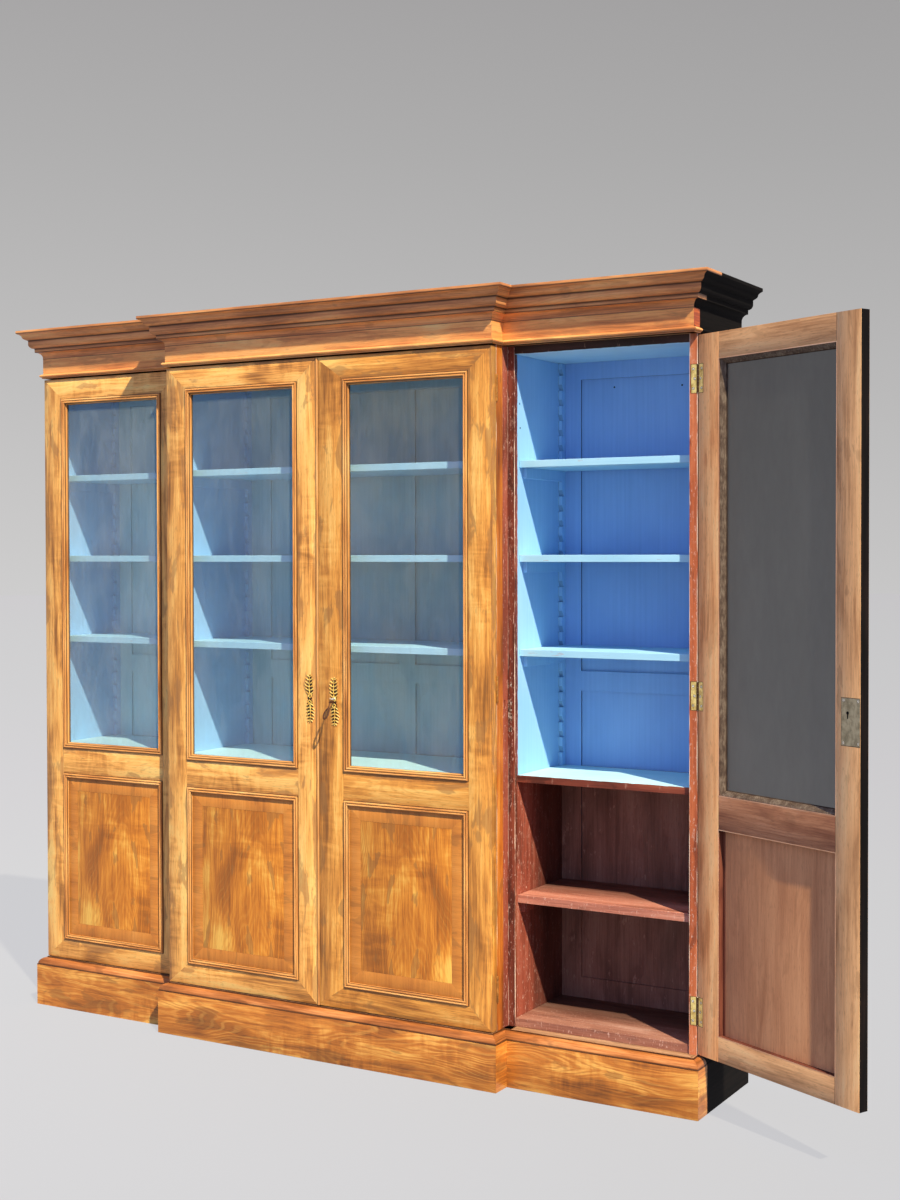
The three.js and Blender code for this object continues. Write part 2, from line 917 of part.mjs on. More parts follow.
// A keyhole: round above, with a slot for the bit below it.
function keyholeOutline([x, z]) {
  const half = keyhole_slot / 2;
  const turn = Math.asin(half / keyhole_radius);
  return [
    ...roundPoints(
      [x, z],
      [keyhole_radius, keyhole_radius],
      -Math.PI / 2 + turn,
      (Math.PI * 3) / 2 - turn,
      round_sides,
    ),
    [x - half, z - keyhole_drop],
    [x + half, z - keyhole_drop],
  ];
}

// A lock let into the back of a door whose free edge lies to its left: a brass plate over a case, with
// a keyhole, room for the bit to turn and a slot that the bolt slides in. The keyhole stands at x.
function lockPieces(x, height, backset) {
  const edge = x - backset;
  const plate_span = [edge + seat_gap, x + lock_plate_beyond];
  const plate_rise = [height - lock_plate_below, height + lock_plate_above];
  const case_rise = inset(plate_rise, lock_case_inset);
  const case_span = [edge + lock_case_inset, x + lock_plate_beyond - lock_case_inset];
  const bolt_rise = span(height - bolt_drop, height - bolt_drop - bolt_height);
  const bolt_depth = [door_back - bolt_inset - bolt_thickness, door_back - bolt_inset];
  const front = door_back - lock_case_depth;
  const roomy = ([low, high]) => [low - bolt_clearance, high + bolt_clearance];
  const bolt_slot = block(
    [edge - overrun, edge + bolt_length + bolt_clearance * 2],
    roomy(bolt_depth),
    roomy(bolt_rise),
  );
  const keyhole = plate(
    keyholeOutline([x, height]),
    [],
    [-door_back - overrun, -door_face + overrun],
    elevation,
  );
  const bit_room = rod(
    [x, 0, height],
    bit_room_radius,
    [front - overrun, door_back - lock_plate_thickness],
    "y",
  );
  const body = joined(
    block(plate_span, [door_back - lock_plate_thickness, door_back], plate_rise),
    block(case_span, [front, door_back - lock_plate_thickness + bond], case_rise),
  );
  const pocket = joined(
    block(
      [edge - overrun, plate_span[1] + seat_gap],
      [door_back - lock_plate_thickness - seat_gap, door_back + overrun],
      roomy(plate_rise),
    ),
    block(roomy(case_span), [front - seat_gap, door_back], roomy(case_rise)),
  );
  return {
    lock: cut(body, keyhole, bit_room, bolt_slot),
    bolt: block([edge + bolt_clearance, edge + bolt_clearance + bolt_length], bolt_depth, bolt_rise),
    cuts: [pocket, keyhole, bolt_slot],
    strike: block(
      [edge - meeting_gap - bolt_throw - bolt_clearance, edge],
      roomy(bolt_depth),
      roomy(bolt_rise),
    ),
  };
}

const free_edge = ({ hand, width }) => hand * (pin_outset + width);
const wing_lock = lockPieces(free_edge(doors.right) + wing_backset, wing_keyhole_height, wing_backset);
const centre_key_x = free_edge(doors.centre_right) + centre_backset;
const centre_lock = lockPieces(centre_key_x, centre_keyhole_height, centre_backset);

// A leafy escutcheon: a long plate whose edge is drawn in and out in small leaves, drawn together at
// the waist, with a keyhole in the middle and an eyelet in each end.
function escutcheon(x, height) {
  const half = escutcheon_height / 2;
  const steps = escutcheon_lobes * 4;
  const halfWidth = (share) => {
    const along = Math.abs(share);
    const taper = 1 - (1 - escutcheon_tip_share) * along ** 4;
    const waist = 1 - (1 - escutcheon_waist_share) * Math.exp(-((along / waist_reach_share) ** 2));
    const leaf = 1 - lobe_depth_share * Math.abs(Math.sin(along * escutcheon_lobes * Math.PI));
    return (escutcheon_width / 2) * taper * waist * leaf;
  };
  const edge = Array.from({ length: steps + 1 }, (_, i) => {
    const share = 1 - (2 * i) / steps;
    return [halfWidth(share), share * half];
  });
  const outline = [
    ...edge.map(([out, rise]) => [x - out, height + rise]),
    ...edge.reverse().map(([out, rise]) => [x + out, height + rise]),
  ];
  const holes = [
    keyholeOutline([x, height]),
    circle([x, height + eyelet_rise], eyelet_radius, 8),
    circle([x, height - eyelet_rise], eyelet_radius, 8),
  ];
  const seat = -door_face + seat_gap;
  return plate(outline, holes, [seat, seat + escutcheon_thickness], elevation);
}

// The key: a shank with a bit inside the lock and a fork outside that holds the pin of its bow.
function keyShank(x, height) {
  const tip = door_face - key_reach;
  const inner = door_back - lock_plate_thickness - seat_gap - bond;
  const fork = block(
    [x - key_fork_width / 2, x + key_fork_width / 2],
    [tip, tip + key_fork_length],
    [height - key_fork_height / 2, height + key_fork_height / 2],
  );
  const slot = block(
    inset([x - key_eye_width / 2, x + key_eye_width / 2], -seat_gap),
    [tip - overrun, tip + key_eye_radius * 2 + seat_gap],
    [height - key_fork_height, height + key_fork_height],
  );
  const pin = rod(
    [0, tip + key_eye_radius, height],
    key_pin_radius,
    inset([x - key_fork_width / 2, x + key_fork_width / 2], bond),
    "x",
    8,
  );
  const bit = block(
    [x - key_bit_thickness / 2, x + key_bit_thickness / 2],
    [inner - key_bit_width, inner],
    [height - key_shank_radius - key_bit_length, height],
  );
  const shank = rod([x, 0, height], key_shank_radius, [tip + key_fork_length - bond, inner], "y", 12);
  return joined(cut(fork, slot), pin, shank, bit);
}

// The bow of the key, with its pin's centre at the origin. It points along -Y and hangs down when its
// group is turned.
function keyBow() {
  const eye = plate(
    circle([0, 0], key_eye_radius, 12),
    [circle([0, 0], key_pin_radius + key_pin_clearance, 8)],
    [-key_eye_width / 2, key_eye_width / 2],
    section,
  );
  const stem_end = key_eye_radius + bow_stem_length;
  const stem = block(
    [-key_eye_width / 2, key_eye_width / 2],
    [-stem_end, -key_eye_radius + bond / 2],
    [-bow_thickness / 2, bow_thickness / 2],
  );
  const centre = [0, -stem_end - bow_length / 2 + bow_rim / 2];
  const ring = plate(
    roundPoints(centre, [bow_width / 2, bow_length / 2], 0, Math.PI * 2, round_sides).slice(0, -1),
    [
      roundPoints(
        centre,
        [bow_width / 2 - bow_rim, bow_length / 2 - bow_rim],
        0,
        Math.PI * 2,
        round_sides,
      ).slice(0, -1),
    ],
    [-bow_thickness / 2, bow_thickness / 2],
    plan,
  );
  return joined(eye, stem, ring);
}

// One leaf of a butt hinge, with its own knuckles on the pin. Fixed leaves lie behind the joint and
// carry the pin, moving ones lie before it.
function hingeLeaf(height, inward, fixed) {
  const foot = height - hinge_height / 2;
  const step = hinge_height / knuckle_count;
  const room_radius = knuckle_radius + knuckle_clearance;
  const depth = fixed
    ? [hinge_gap / 2, hinge_gap / 2 + leaf_thickness]
    : [door_back - leaf_thickness, door_back];
  const leaf = block(
    span(0, inward * (pin_outset + leaf_width)),
    depth,
    [foot, foot + hinge_height],
  );
  const knuckles = [];
  const rooms = [];
  for (let i = 0; i < knuckle_count; i++) {
    const own = (i % 2 === 0) === fixed;
    const rise = [foot + i * step, foot + (i + 1) * step];
    if (own) knuckles.push(rod([0, 0, 0], knuckle_radius, inset(rise, knuckle_gap / 2), "z"));
    else rooms.push(rod([0, 0, 0], room_radius, inset(rise, -knuckle_gap / 2), "z"));
  }
  const pin = rod([0, 0, 0], hinge_pin_radius, inset([foot, foot + hinge_height], bond), "z", 8);
  const bore = rod(
    [0, 0, 0],
    hinge_pin_radius + seat_gap,
    [foot - overrun, foot + hinge_height + overrun],
    "z",
    8,
  );
  const plain = joined(cut(leaf, ...rooms), ...knuckles);
  return fixed ? joined(plain, pin) : cut(plain, bore);
}

// Hangs each door in a group at its pins and fills it.
const door_groups = {};
for (const [name, door] of Object.entries(doors)) {
  const group = new THREE.Group();
  group.position.set(...pins[name], 0);
  door_groups[name] = group;
  bookcase.add(group);
  let frame = doorFrame(door);
  if (name === "centre_right") {
    frame = cut(joined(frame, meetingBead(door)), ...centre_lock.cuts);
  }
  if (name === "centre_left") {
    const shift = pins.centre_right[0] - pins.centre_left[0];
    frame = cut(frame, centre_lock.strike.translate([shift, 0, 0]));
  }
  if (name === "right") {
    const recesses = hinge_heights.map((height) =>
      leafBlock(
        0,
        door.hand,
        [door_back - leaf_thickness - seat_gap, door_back + overrun],
        height,
        seat_gap,
      ),
    );
    const rooms = knuckleRoom([0, 0]);
    frame = cut(frame, ...wing_lock.cuts, ...recesses, ...rooms);
  } else {
    frame = joined(frame, ...plainKnuckles());
  }
  const parts = openings(door);
  addPiece(group, `${name}_door_frame`, frame, "mahogany");
  addPiece(group, `${name}_door_pane`, infill(parts.pane, pane_thickness), "glass");
  addPiece(group, `${name}_door_panel`, infill(parts.panel, panel_thickness), "flame_veneer");
}
door_groups.right.rotation.z = right_door_open;

// Hinges, locks and key
const hinge_names = ["low", "middle", "high"];
hinge_names.forEach((name, i) => {
  const height = hinge_heights[i];
  const fixed = hingeLeaf(height, -1, true).translate([...pins.right, 0]);
  addPiece(bookcase, `${name}_hinge_case_leaf`, fixed, "brass");
  addPiece(door_groups.right, `${name}_hinge_door_leaf`, hingeLeaf(height, -1, false), "brass");
});
addPiece(door_groups.right, "right_door_lock", wing_lock.lock, "lock_brass");
addPiece(door_groups.right, "right_door_bolt", wing_lock.bolt, "brass");
addPiece(door_groups.centre_right, "centre_lock", centre_lock.lock, "lock_brass");
addPiece(door_groups.centre_right, "centre_bolt", centre_lock.bolt, "brass");
addPiece(
  door_groups.centre_right,
  "centre_right_escutcheon",
  escutcheon(centre_key_x, centre_keyhole_height),
  "brass",
);
addPiece(
  door_groups.centre_left,
  "centre_left_escutcheon",
  escutcheon(free_edge(doors.centre_left) - left_escutcheon_inset, left_escutcheon_height),
  "brass",
);
addPiece(door_groups.centre_right, "key", keyShank(centre_key_x, centre_keyhole_height), "iron");
const bow_group = new THREE.Group();
bow_group.position.set(centre_key_x, door_face - key_reach + key_eye_radius, centre_keyhole_height);
bow_group.rotation.x = bow_hang;
door_groups.centre_right.add(bow_group);
addPiece(bow_group, "key_bow", keyBow(), "iron");

export default bookcase;
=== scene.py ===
# %% [markdown]
# # A breakfront bookcase, dressed
# The imported CAD model gives every board, door and hinge its place. This lesson dresses it: finer
# mouldings, veneers, glass, brass and paint, each one a surface worked out with numpy, and each one
# standing exactly where the CAD piece stands. The frame is loaded first.

import bmesh
import bpy
import numpy as np
from mathutils import Matrix


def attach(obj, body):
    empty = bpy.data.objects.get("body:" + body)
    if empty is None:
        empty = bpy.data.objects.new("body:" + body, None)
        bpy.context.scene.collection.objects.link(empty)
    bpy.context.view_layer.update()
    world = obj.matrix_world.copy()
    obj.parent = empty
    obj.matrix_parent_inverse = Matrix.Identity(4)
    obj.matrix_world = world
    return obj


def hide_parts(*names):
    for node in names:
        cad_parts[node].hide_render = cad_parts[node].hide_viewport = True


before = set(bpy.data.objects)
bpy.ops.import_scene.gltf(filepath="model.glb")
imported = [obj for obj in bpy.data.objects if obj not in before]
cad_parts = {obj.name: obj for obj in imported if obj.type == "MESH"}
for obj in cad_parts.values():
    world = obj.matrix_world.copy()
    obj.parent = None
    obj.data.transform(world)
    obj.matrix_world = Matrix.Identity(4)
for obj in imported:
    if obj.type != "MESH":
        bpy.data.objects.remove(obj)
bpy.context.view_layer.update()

mm = 0.001

# %% [markdown]
# ## The camera
# The photograph was taken from the right, a little above the middle of the bookcase, with the camera
# almost level. Place, turn and lens were solved from the corners of plinth, cornice and doors, so the
# upright edges converge as they do in the picture. It comes first, because everything is judged by it.

# %% Camera
def add_camera(place, pitch, heading, roll, lens, shift):
    """Turns a camera that looks along -Z up by a quarter turn less the pitch, then round by the heading."""
    data = bpy.data.cameras.new("camera")
    data.lens = lens
    data.sensor_width = 36.0
    data.shift_x, data.shift_y = shift
    data.clip_end = 200.0
    camera = bpy.data.objects.new("camera", data)
    turn = Matrix.Rotation(heading, 4, "Z") @ Matrix.Rotation(np.pi / 2 - pitch, 4, "X")
    camera.matrix_world = Matrix.Translation(place) @ turn @ Matrix.Rotation(roll, 4, "Z")
    bpy.context.scene.collection.objects.link(camera)
    bpy.context.scene.camera = camera
    return camera


camera = add_camera(place=(2.8715, -4.1637, 1.5053), pitch=0.0198, heading=0.5235, roll=-0.0019, lens=50.38,
                    shift=(-0.0144, -0.0103))
print("camera", [round(v, 3) for v in camera.location], "lens", round(camera.data.lens, 1))

# %% [markdown]
# ## From arrays to a piece
# Nearly everything here is a closed outline carried from one ring to the next: a board, a length of
# moulding, a pane. `loft` joins such rings with quads and closes both ends. Along each face runs a map
# called "grain", in metres, whose first number goes along the wood's fibres. Every board gets its own
# random start on that map, so no two boards show the same grain. A second value says where dirt has
# gathered and where shade is painted, as in the bottom of a quirk or a gap, and a third, "margin", runs
# from minus one to one across a board, for the wax that darkens the edges of a veneer.

# %% Rings, outlines and closed parts
luck = np.random.default_rng(1871)


def loft(rings, along, around, sides=0, dirt_and_shade=0.0, across=False, margin=0.0):
    """Joins rings of points, each closed on itself, with quads and fills the first and last ring.

    rings is (n, m, 3). along is how far each ring lies along the grain, around the distance round the
    outline at each of its m corners and back at the first. sides is a finish number for each stretch of
    the outline. With across, the grain runs round the outline instead of along it.
    """
    n, m = rings.shape[:2]
    along = np.broadcast_to(np.asarray(along, float).reshape(n, -1), (n, m))
    sides = np.broadcast_to(sides, m)
    ring, spot = np.arange(n - 1)[:, None], np.arange(m)[None, :]
    after = (spot + 1) % m
    here, over = ring * m, (ring + 1) * m
    quads = np.stack([here + spot, here + after, over + after, over + spot], -1).reshape(-1, 4)
    u = np.stack([along[:-1], np.roll(along[:-1], -1, 1), np.roll(along[1:], -1, 1), along[1:]], -1)
    v = np.broadcast_to(np.stack([around[:-1], around[1:], around[1:], around[:-1]], -1), u.shape)
    uv = np.stack([u, v], -1).reshape(-1, 2)
    ends = np.concatenate([np.arange(m)[::-1], (n - 1) * m + np.arange(m)])
    end_uv = np.stack([np.concatenate([along[0][::-1], along[-1]]),
                       np.concatenate([around[:m][::-1], around[:m]])], -1)
    uv = np.concatenate([uv, end_uv]) + luck.uniform(0, 40, 2)
    return {
        "points": rings.reshape(-1, 3),
        "corners": np.concatenate([quads.ravel(), ends]),
        "totals": np.concatenate([np.full(len(quads), 4), [m, m]]),
        "uv": uv[:, ::-1] if across else uv,
        "finish": np.concatenate([np.tile(sides, n - 1), [sides[0], sides[0]]]),
        "dirt_and_shade": np.tile(np.broadcast_to(dirt_and_shade, m), n),
        "margin": np.tile(np.broadcast_to(margin, m), n),
    }


def outward(part):
    """Turns every face round if the part's volume, added up from its faces, comes out negative."""
    points, corners, totals = part["points"], part["corners"], part["totals"]
    start = np.concatenate([[0], np.cumsum(totals)[:-1]])
    face = np.repeat(np.arange(len(totals)), totals)
    spot = np.arange(len(corners)) - start[face]
    after = start[face] + (spot + 1) % totals[face]
    local = points - points.mean(0)
    twice_area = np.add.reduceat(np.cross(local[corners], local[corners[after]]), start)
    if (local[corners[start]] * twice_area).sum() < 0:
        back = start[face] + totals[face] - 1 - spot
        part["corners"], part["uv"] = corners[back], part["uv"][back]
    return part


def distances(outline):
    """How far round a closed outline each corner lies, ending with the whole way round."""
    steps = np.linalg.norm(np.roll(outline, -1, 0) - outline, axis=1)
    return np.concatenate([[0], np.cumsum(steps)])


crease = np.radians(35)


def assemble(name, parts, finishes, body, replaces=()):
    """Joins parts in one mesh with grain map, dirt and painted shade, and margin, and lets it ride on its body.
    """
    parts = [outward(part) for part in parts]
    first = np.concatenate([[0], np.cumsum([len(part["points"]) for part in parts])[:-1]])
    points = np.concatenate([part["points"] for part in parts])
    corners = np.concatenate([part["corners"] + f for part, f in zip(parts, first)])
    totals = np.concatenate([part["totals"] for part in parts])
    mesh = bpy.data.meshes.new(name)
    mesh.vertices.add(len(points))
    mesh.vertices.foreach_set("co", points.astype(np.float32).ravel())
    mesh.loops.add(len(corners))
    mesh.loops.foreach_set("vertex_index", corners.astype(np.int32))
    mesh.polygons.add(len(totals))
    mesh.polygons.foreach_set("loop_start", np.concatenate([[0], np.cumsum(totals)[:-1]]).astype(np.int32))
    mesh.polygons.foreach_set("material_index", np.concatenate([p["finish"] for p in parts]).astype(np.int32))
    uv = np.concatenate([part["uv"] for part in parts]).astype(np.float32)
    mesh.uv_layers.new(name="grain").data.foreach_set("uv", uv.ravel())
    for layer in ("dirt_and_shade", "margin"):
        values = np.concatenate([part[layer] for part in parts]).astype(np.float32)
        mesh.attributes.new(layer, "FLOAT", "POINT").data.foreach_set("value", values)
    mesh.update(calc_edges=True)
    mesh.shade_smooth()
    mesh.set_sharp_from_angle(angle=crease)
    piece = bpy.data.objects.new(name, mesh)
    bpy.context.scene.collection.objects.link(piece)
    for finish in finishes:
        mesh.materials.append(finish)
    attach(piece, body)
    if replaces:
        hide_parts(*replaces)
    return piece


def arc(centre, radii, start, stop, steps):
    """Points on an ellipse: the centre plus each radius times the cosine or sine of the angle, in degrees."""
    angle = np.radians(np.linspace(start, stop, steps + 1))
    return np.stack([centre[0] + radii[0] * np.cos(angle), centre[1] + radii[1] * np.sin(angle)], -1)


def eased(width, thickness, ease):
    """A rectangle whose corners are quarter rounds: four arcs, one after another. Its sides are 0 at
    thickness nought, 1 at full width, 2 at full thickness and 3 at width nought."""
    a, b, steps = width - ease, thickness - ease, 2
    outline = np.concatenate([
        arc((ease, ease), (ease, ease), 180, 270, steps),
        arc((a, ease), (ease, ease), 270, 360, steps),
        arc((a, b), (ease, ease), 0, 90, steps),
        arc((ease, b), (ease, ease), 90, 180, steps),
    ])
    return outline, np.repeat(np.arange(4), steps + 1)


def board(corner, along, across, deep, length, width, thickness, finishes=(0, 0, 0, 0), ease=0.8,
          slopes=(0, 0), across_grain=False):
    """A board: its eased section carried along its length. Each end leans by its slope, so that an end
    that gains or loses its own width is a mitre. Sizes in millimetres, axes as unit vectors."""
    outline, side = eased(width, thickness, ease)
    along, across, deep = (np.asarray(axis, float) for axis in (along, across, deep))
    reach = np.stack([slopes[0] * outline[:, 0], length + slopes[1] * outline[:, 0]])
    flat = outline[:, :1] * across + outline[:, 1:] * deep
    rings = np.asarray(corner, float) + flat[None] + reach[..., None] * along
    return loft(rings, reach * mm, distances(outline) * mm, np.asarray(finishes)[side], across=across_grain,
                margin=2 * outline[:, 0] / width - 1)


UP, ACROSS, BACK = (0, 0, 1), (1, 0, 0), (0, 1, 0)


def placed(parts, place):
    """Takes parts from a piece's own millimetres to metres in the bookcase's frame."""
    return [{**part, "points": place(part["points"])} for part in parts]


def upright(points):
    """Millimetres in the bookcase's own frame to metres."""
    return points * mm


print("helpers ready")

# %% [markdown]
# ## Carrying a moulding round a corner
# A joiner cuts each length of moulding at half the angle of the corner and glues the lengths together.
# `lengths` does the same: every point of the profile slides along its length by its distance out times
# the tangent of half the turn. Each length is a closed solid of its own with its own grain, and a hair's
# width is left in every mitre, where the real one shows a dark line.

# %% Mitred lengths
mitre_gap = 0.12


def lengths(path, profile, up=None, closed=False, dirt_and_shade=0.0, sides=0, skip=()):
    """Lengths of moulding along a flat path, in millimetres. path is (n, 2), profile is (m, 2) as distance
    out, to the left of the way, and height. Point = start + way * slide + left * out + up * height."""
    path, profile = np.asarray(path, float), np.asarray(profile, float)
    ahead = np.roll(path, -1, 0) - path
    size = np.linalg.norm(ahead, axis=1)
    way = ahead / size[:, None]
    turn = np.arctan2(np.cross(np.roll(way, 1, 0), way), (np.roll(way, 1, 0) * way).sum(1))
    slope = np.tan(turn / 2)
    around = distances(profile) * mm
    parts = []
    for i in range(len(path) if closed else len(path) - 1):
        if i in skip:
            continue
        begin = slope[i] if closed or i > 0 else 0
        end = slope[(i + 1) % len(path)] if closed or i < len(path) - 2 else 0
        out, height = profile[:, 0], profile[:, 1]
        slide = np.stack([mitre_gap + out * begin, size[i] - mitre_gap - out * end])
        left = np.array([-way[i][1], way[i][0]])
        flat = path[i] + slide[..., None] * way[i] + out[None, :, None] * left
        rings = np.concatenate([flat, np.broadcast_to(height[None, :, None], (2, len(out), 1))], -1)
        parts.append(loft(rings, slide * mm, around, sides, dirt_and_shade))
    return parts if up is None else placed(parts, up)


def with_dirt_and_shade(profile, quirks, reach=1.2):
    """A profile with corners added beside its quirks, and the dirt and painted shade at every corner: the
    greatest of exp(-(distance round the outline from a quirk / reach) squared). Each quirk may have its own
    reach."""
    profile = np.asarray(profile, float)
    run = distances(profile)
    total = run[-1]
    reach = np.broadcast_to(reach, len(quirks))
    near = run[list(quirks), None] + reach[:, None] * np.array([-1.6, -1.0, -0.5, 0.5, 1.0, 1.6])
    spots = np.unique(np.round(np.concatenate([run[:-1], near.ravel() % total]), 4))
    closed = np.vstack([profile, profile[:1]])
    points = np.stack([np.interp(spots, run, closed[:, i]) for i in (0, 1)], -1)
    apart = np.abs(spots[:, None] - run[list(quirks)])
    apart = np.minimum(apart, total - apart)
    return points, np.exp(-((apart / reach) ** 2)).max(1)


half_total, half_centre, break_depth, case_depth = 1161.0, 583.0, 64.0, 350.0


def plan_corners(out, back):
    """The plan from the back right round the front to the back left, moved out by a distance, so that
    the left of the way is always the outside."""
    right = [(half_total + out, back), (half_total + out, -out), (half_centre + out, -out),
             (half_centre + out, -break_depth - out)]
    return np.array(right + [(-x, y) for x, y in right[::-1]])


print("plan corners", plan_corners(0, case_depth).astype(int).tolist())

# %% [markdown]
# ## Finishes: wood
# Old mahogany isn't one colour. Under the polish run streaks along the fibres, bands of figure across
# them where the fibres wave, dark pores, and stains from sun and hands. Each of these is a noise pattern
# stretched along the grain map by its own amount; a colour ramp turns their sum into wood, and a second
# one gives the polish its unevenness. One recipe makes all the woods, from golden veneer to bare boards.

# %% Nodes in a row
def colour(red, green, blue):
    """The linear value of a screen colour: the sRGB curve, undone."""
    share = np.array([red, green, blue]) / 255
    return (*np.where(share <= 0.04045, share / 12.92, ((share + 0.055) / 1.055) ** 2.4), 1.0)


class Recipe:
    """The nodes of a material or a world, added one by one. Each method returns the socket that it made."""

    def __init__(self, owner):
        self.owner = bpy.data.materials.new(owner) if isinstance(owner, str) else owner
        self.owner.use_nodes = True
        self.tree = self.owner.node_tree
        self.tree.nodes.clear()

    def add(self, kind, inputs=(), output=0, **settings):
        node = self.tree.nodes.new("ShaderNode" + kind)
        for key, value in settings.items():
            setattr(node, key, value)
        for socket, value in dict(inputs).items():
            if isinstance(value, bpy.types.NodeSocket):
                self.tree.links.new(value, node.inputs[socket])
            else:
                node.inputs[socket].default_value = value
        return node.outputs[output] if node.outputs else node

    def stretched(self, vector, scale, shift=(0, 0, 0)):
        return self.add("Mapping", {"Vector": vector, "Scale": scale, "Location": shift})

    def noise(self, vector, scale, detail=3.0, rough=0.55, shift=(0, 0, 0), distortion=0.0):
        return self.add("TexNoise", {"Vector": self.stretched(vector, scale, shift), "Scale": 1.0,
                                     "Detail": detail, "Roughness": rough, "Distortion": distortion})

    def sum(self, *terms):
        """Each term is a socket and its weight."""
        total = None
        for socket, weight in terms:
            part = self.add("Math", {0: socket, 1: weight}, operation="MULTIPLY")
            total = part if total is None else self.add("Math", {0: total, 1: part}, operation="ADD")
        return total

    def math(self, operation, a, b=0.0):
        return self.add("Math", {0: a, 1: b}, operation=operation)

    def between(self, value, low, high, to_low=0.0, to_high=1.0):
        return self.add("MapRange", {"Value": value, "From Min": low, "From Max": high,
                                     "To Min": to_low, "To Max": to_high}, interpolation_type="SMOOTHSTEP")

    def ramp(self, value, *stops):
        node = self.add("ValToRGB", {0: value}).node
        ramp = node.color_ramp
        while len(ramp.elements) < len(stops):
            ramp.elements.new(0.5)
        for element, (place, shade) in zip(ramp.elements, stops):
            element.position = place
            element.color = shade
        return node.outputs[0]

    def blend(self, share, a, b, mode="MIX"):
        return self.add("Mix", {0: share, 6: a, 7: b}, 2, data_type="RGBA", blend_type=mode)

    def finish(self, base, roughness, bump=None, depth=0.0002, **plain):
        """The shader: colour, roughness and bump from nodes, all else as plain numbers on its sockets."""
        inputs = {"Base Color": base, "Roughness": roughness}
        if bump is not None:
            inputs["Normal"] = self.add("Bump", {"Height": bump, "Distance": depth, "Strength": 1.0})
        inputs.update({key.replace("_", " "): value for key, value in plain.items()})
        shader = self.add("BsdfPrincipled", inputs)
        self.add("OutputMaterial", {"Surface": shader})
        return self.owner


layer_shares, tone_range = (0.9, 0.5, 0.34), 0.04


def grain_colour(r, palette, stain, stain_share=0.5, contrast=1.0, cloud=(2.6, 13.0), rings=0.0, glow=0.0,
                 arch=False, bands=0.0, pores=0.25, wander=0.02, edges=0.0, crisp=(0.57, 0.63)):
    """The colour of wood from four shades, deep to light.

    Clouds, streaks and fine fibres, each a noise stretched along the grain, are summed by their shares,
    and a ramp turns the sum into a colour. Rings are thin dark lines where the sine of a smooth height is
    near one, as the lines of a map run round hills; with arch the height is a parabola across the board,
    which draws the nested arches of wood cut near the heart. Glow lights the wood between the rings. Bands
    add a noise stretched across the grain. Stains lie where their noise passes the crisp limits, and
    gather near the edges of a board when edges is above nought."""
    grain = r.add("UVMap", uv_map="grain")
    bend = r.noise(grain, (2.4, 8.0, 1), 3.0)
    drift = r.add("VectorMath", {0: (0, wander, 0), "Scale": r.math("SUBTRACT", bend, 0.5)}, operation="SCALE")
    fibres = r.add("VectorMath", {0: grain, 1: drift}, operation="ADD")
    lines = r.noise(fibres, (9.0, 270.0, 1), 2.0, 0.6, (3, 5, 0))
    layers = (r.noise(fibres, (*cloud, 1), 4.0, 0.5, (4, 9, 0), 0.6),
              r.noise(fibres, (3.0, 90.0, 1), 5.0, 0.58), lines)
    terms = [(layer, share * contrast) for layer, share in zip(layers, layer_shares)]
    if bands:
        crossing = r.noise(fibres, (30.0, 7.0, 1), 3.0, 0.5, (9, 2, 0), 1.2)
        where = r.between(r.noise(grain, (2.5, 5.0, 1), 1.0, shift=(2, 8, 0)), 0.45, 0.62)
        terms.append((r.math("MULTIPLY", r.math("SUBTRACT", crossing, 0.5), where), bands))
    deep, dark, middle, light = palette
    value = r.math("ADD", r.sum(*terms), 0.5 - 0.5 * contrast * sum(layer_shares))
    base = r.ramp(value, (0.3, deep), (0.42, dark), (0.53, middle), (0.68, light))
    if rings:
        hills = r.noise(fibres, (1.3, 9.0, 1), 1.5, 0.45, (7, 3, 0))
        height = r.math("MULTIPLY", hills, 150.0)
        if arch:
            axes = r.add("SeparateXYZ", {0: grain}).node.outputs
            eddies = r.noise(fibres, (5.0, 16.0, 1), 2.0, 0.5, (1, 6, 0))
            height = r.sum((hills, 60.0), (eddies, 14.0), (axes[0], 150.0),
                           (r.math("MULTIPLY", axes[1], axes[1]), 3400.0))
        where = r.between(r.noise(grain, (3.6, 8.0, 1), 2.0, shift=(6, 1, 0)), 0.42, 0.6, 0.12, 1.0)
        wave = r.math("SINE", height)
        base = r.blend(r.math("MULTIPLY", r.between(wave, 0.1, 0.9, 0.0, rings), where), base, dark)
        if glow:
            lit = r.between(wave, -0.2, -0.95, 0.0, glow)
            base = r.blend(r.math("MULTIPLY", lit, where), base, light)
    patches = r.noise(fibres, (6.0, 20.0, 1), 4.0, 0.55, (5, 11, 0), 0.5)
    if edges:
        margin = r.math("ABSOLUTE", r.add("Attribute", output=2, attribute_name="margin"))
        patches = r.math("ADD", patches, r.math("MULTIPLY", r.math("POWER", margin, 5.0), edges))
    patchy = r.math("MULTIPLY", r.between(patches, *crisp), stain_share)
    base = r.blend(patchy, base, stain)
    holes = r.noise(grain, (44.0, 420.0, 1), 1.0, shift=(1, 7, 0))
    base = r.blend(r.between(holes, 0.58, 0.72, 0.0, pores), base, deep)
    tones = r.between(r.noise(grain, (0.35, 0.35, 1), 0.0), 0.3, 0.7, 1 - tone_range, 1 + tone_range / 2)
    base = r.blend(1.0, base, r.add("CombineColor", {0: tones, 1: tones, 2: tones}), "MULTIPLY")
    relief = r.sum((lines, 0.5), (holes, -0.4))
    return base, relief, patches


def darkened_by_dirt_and_shade(r, base):
    """Where the value is high the colour goes to black-brown: old wax and dust, and painted shade in quirks."""
    dirt_and_shade = r.add("Attribute", output=2, attribute_name="dirt_and_shade")
    return r.blend(r.math("MULTIPLY", dirt_and_shade, 0.9), base, colour(40, 20, 11))


end_plane, end_line = 1.1608, 0.034


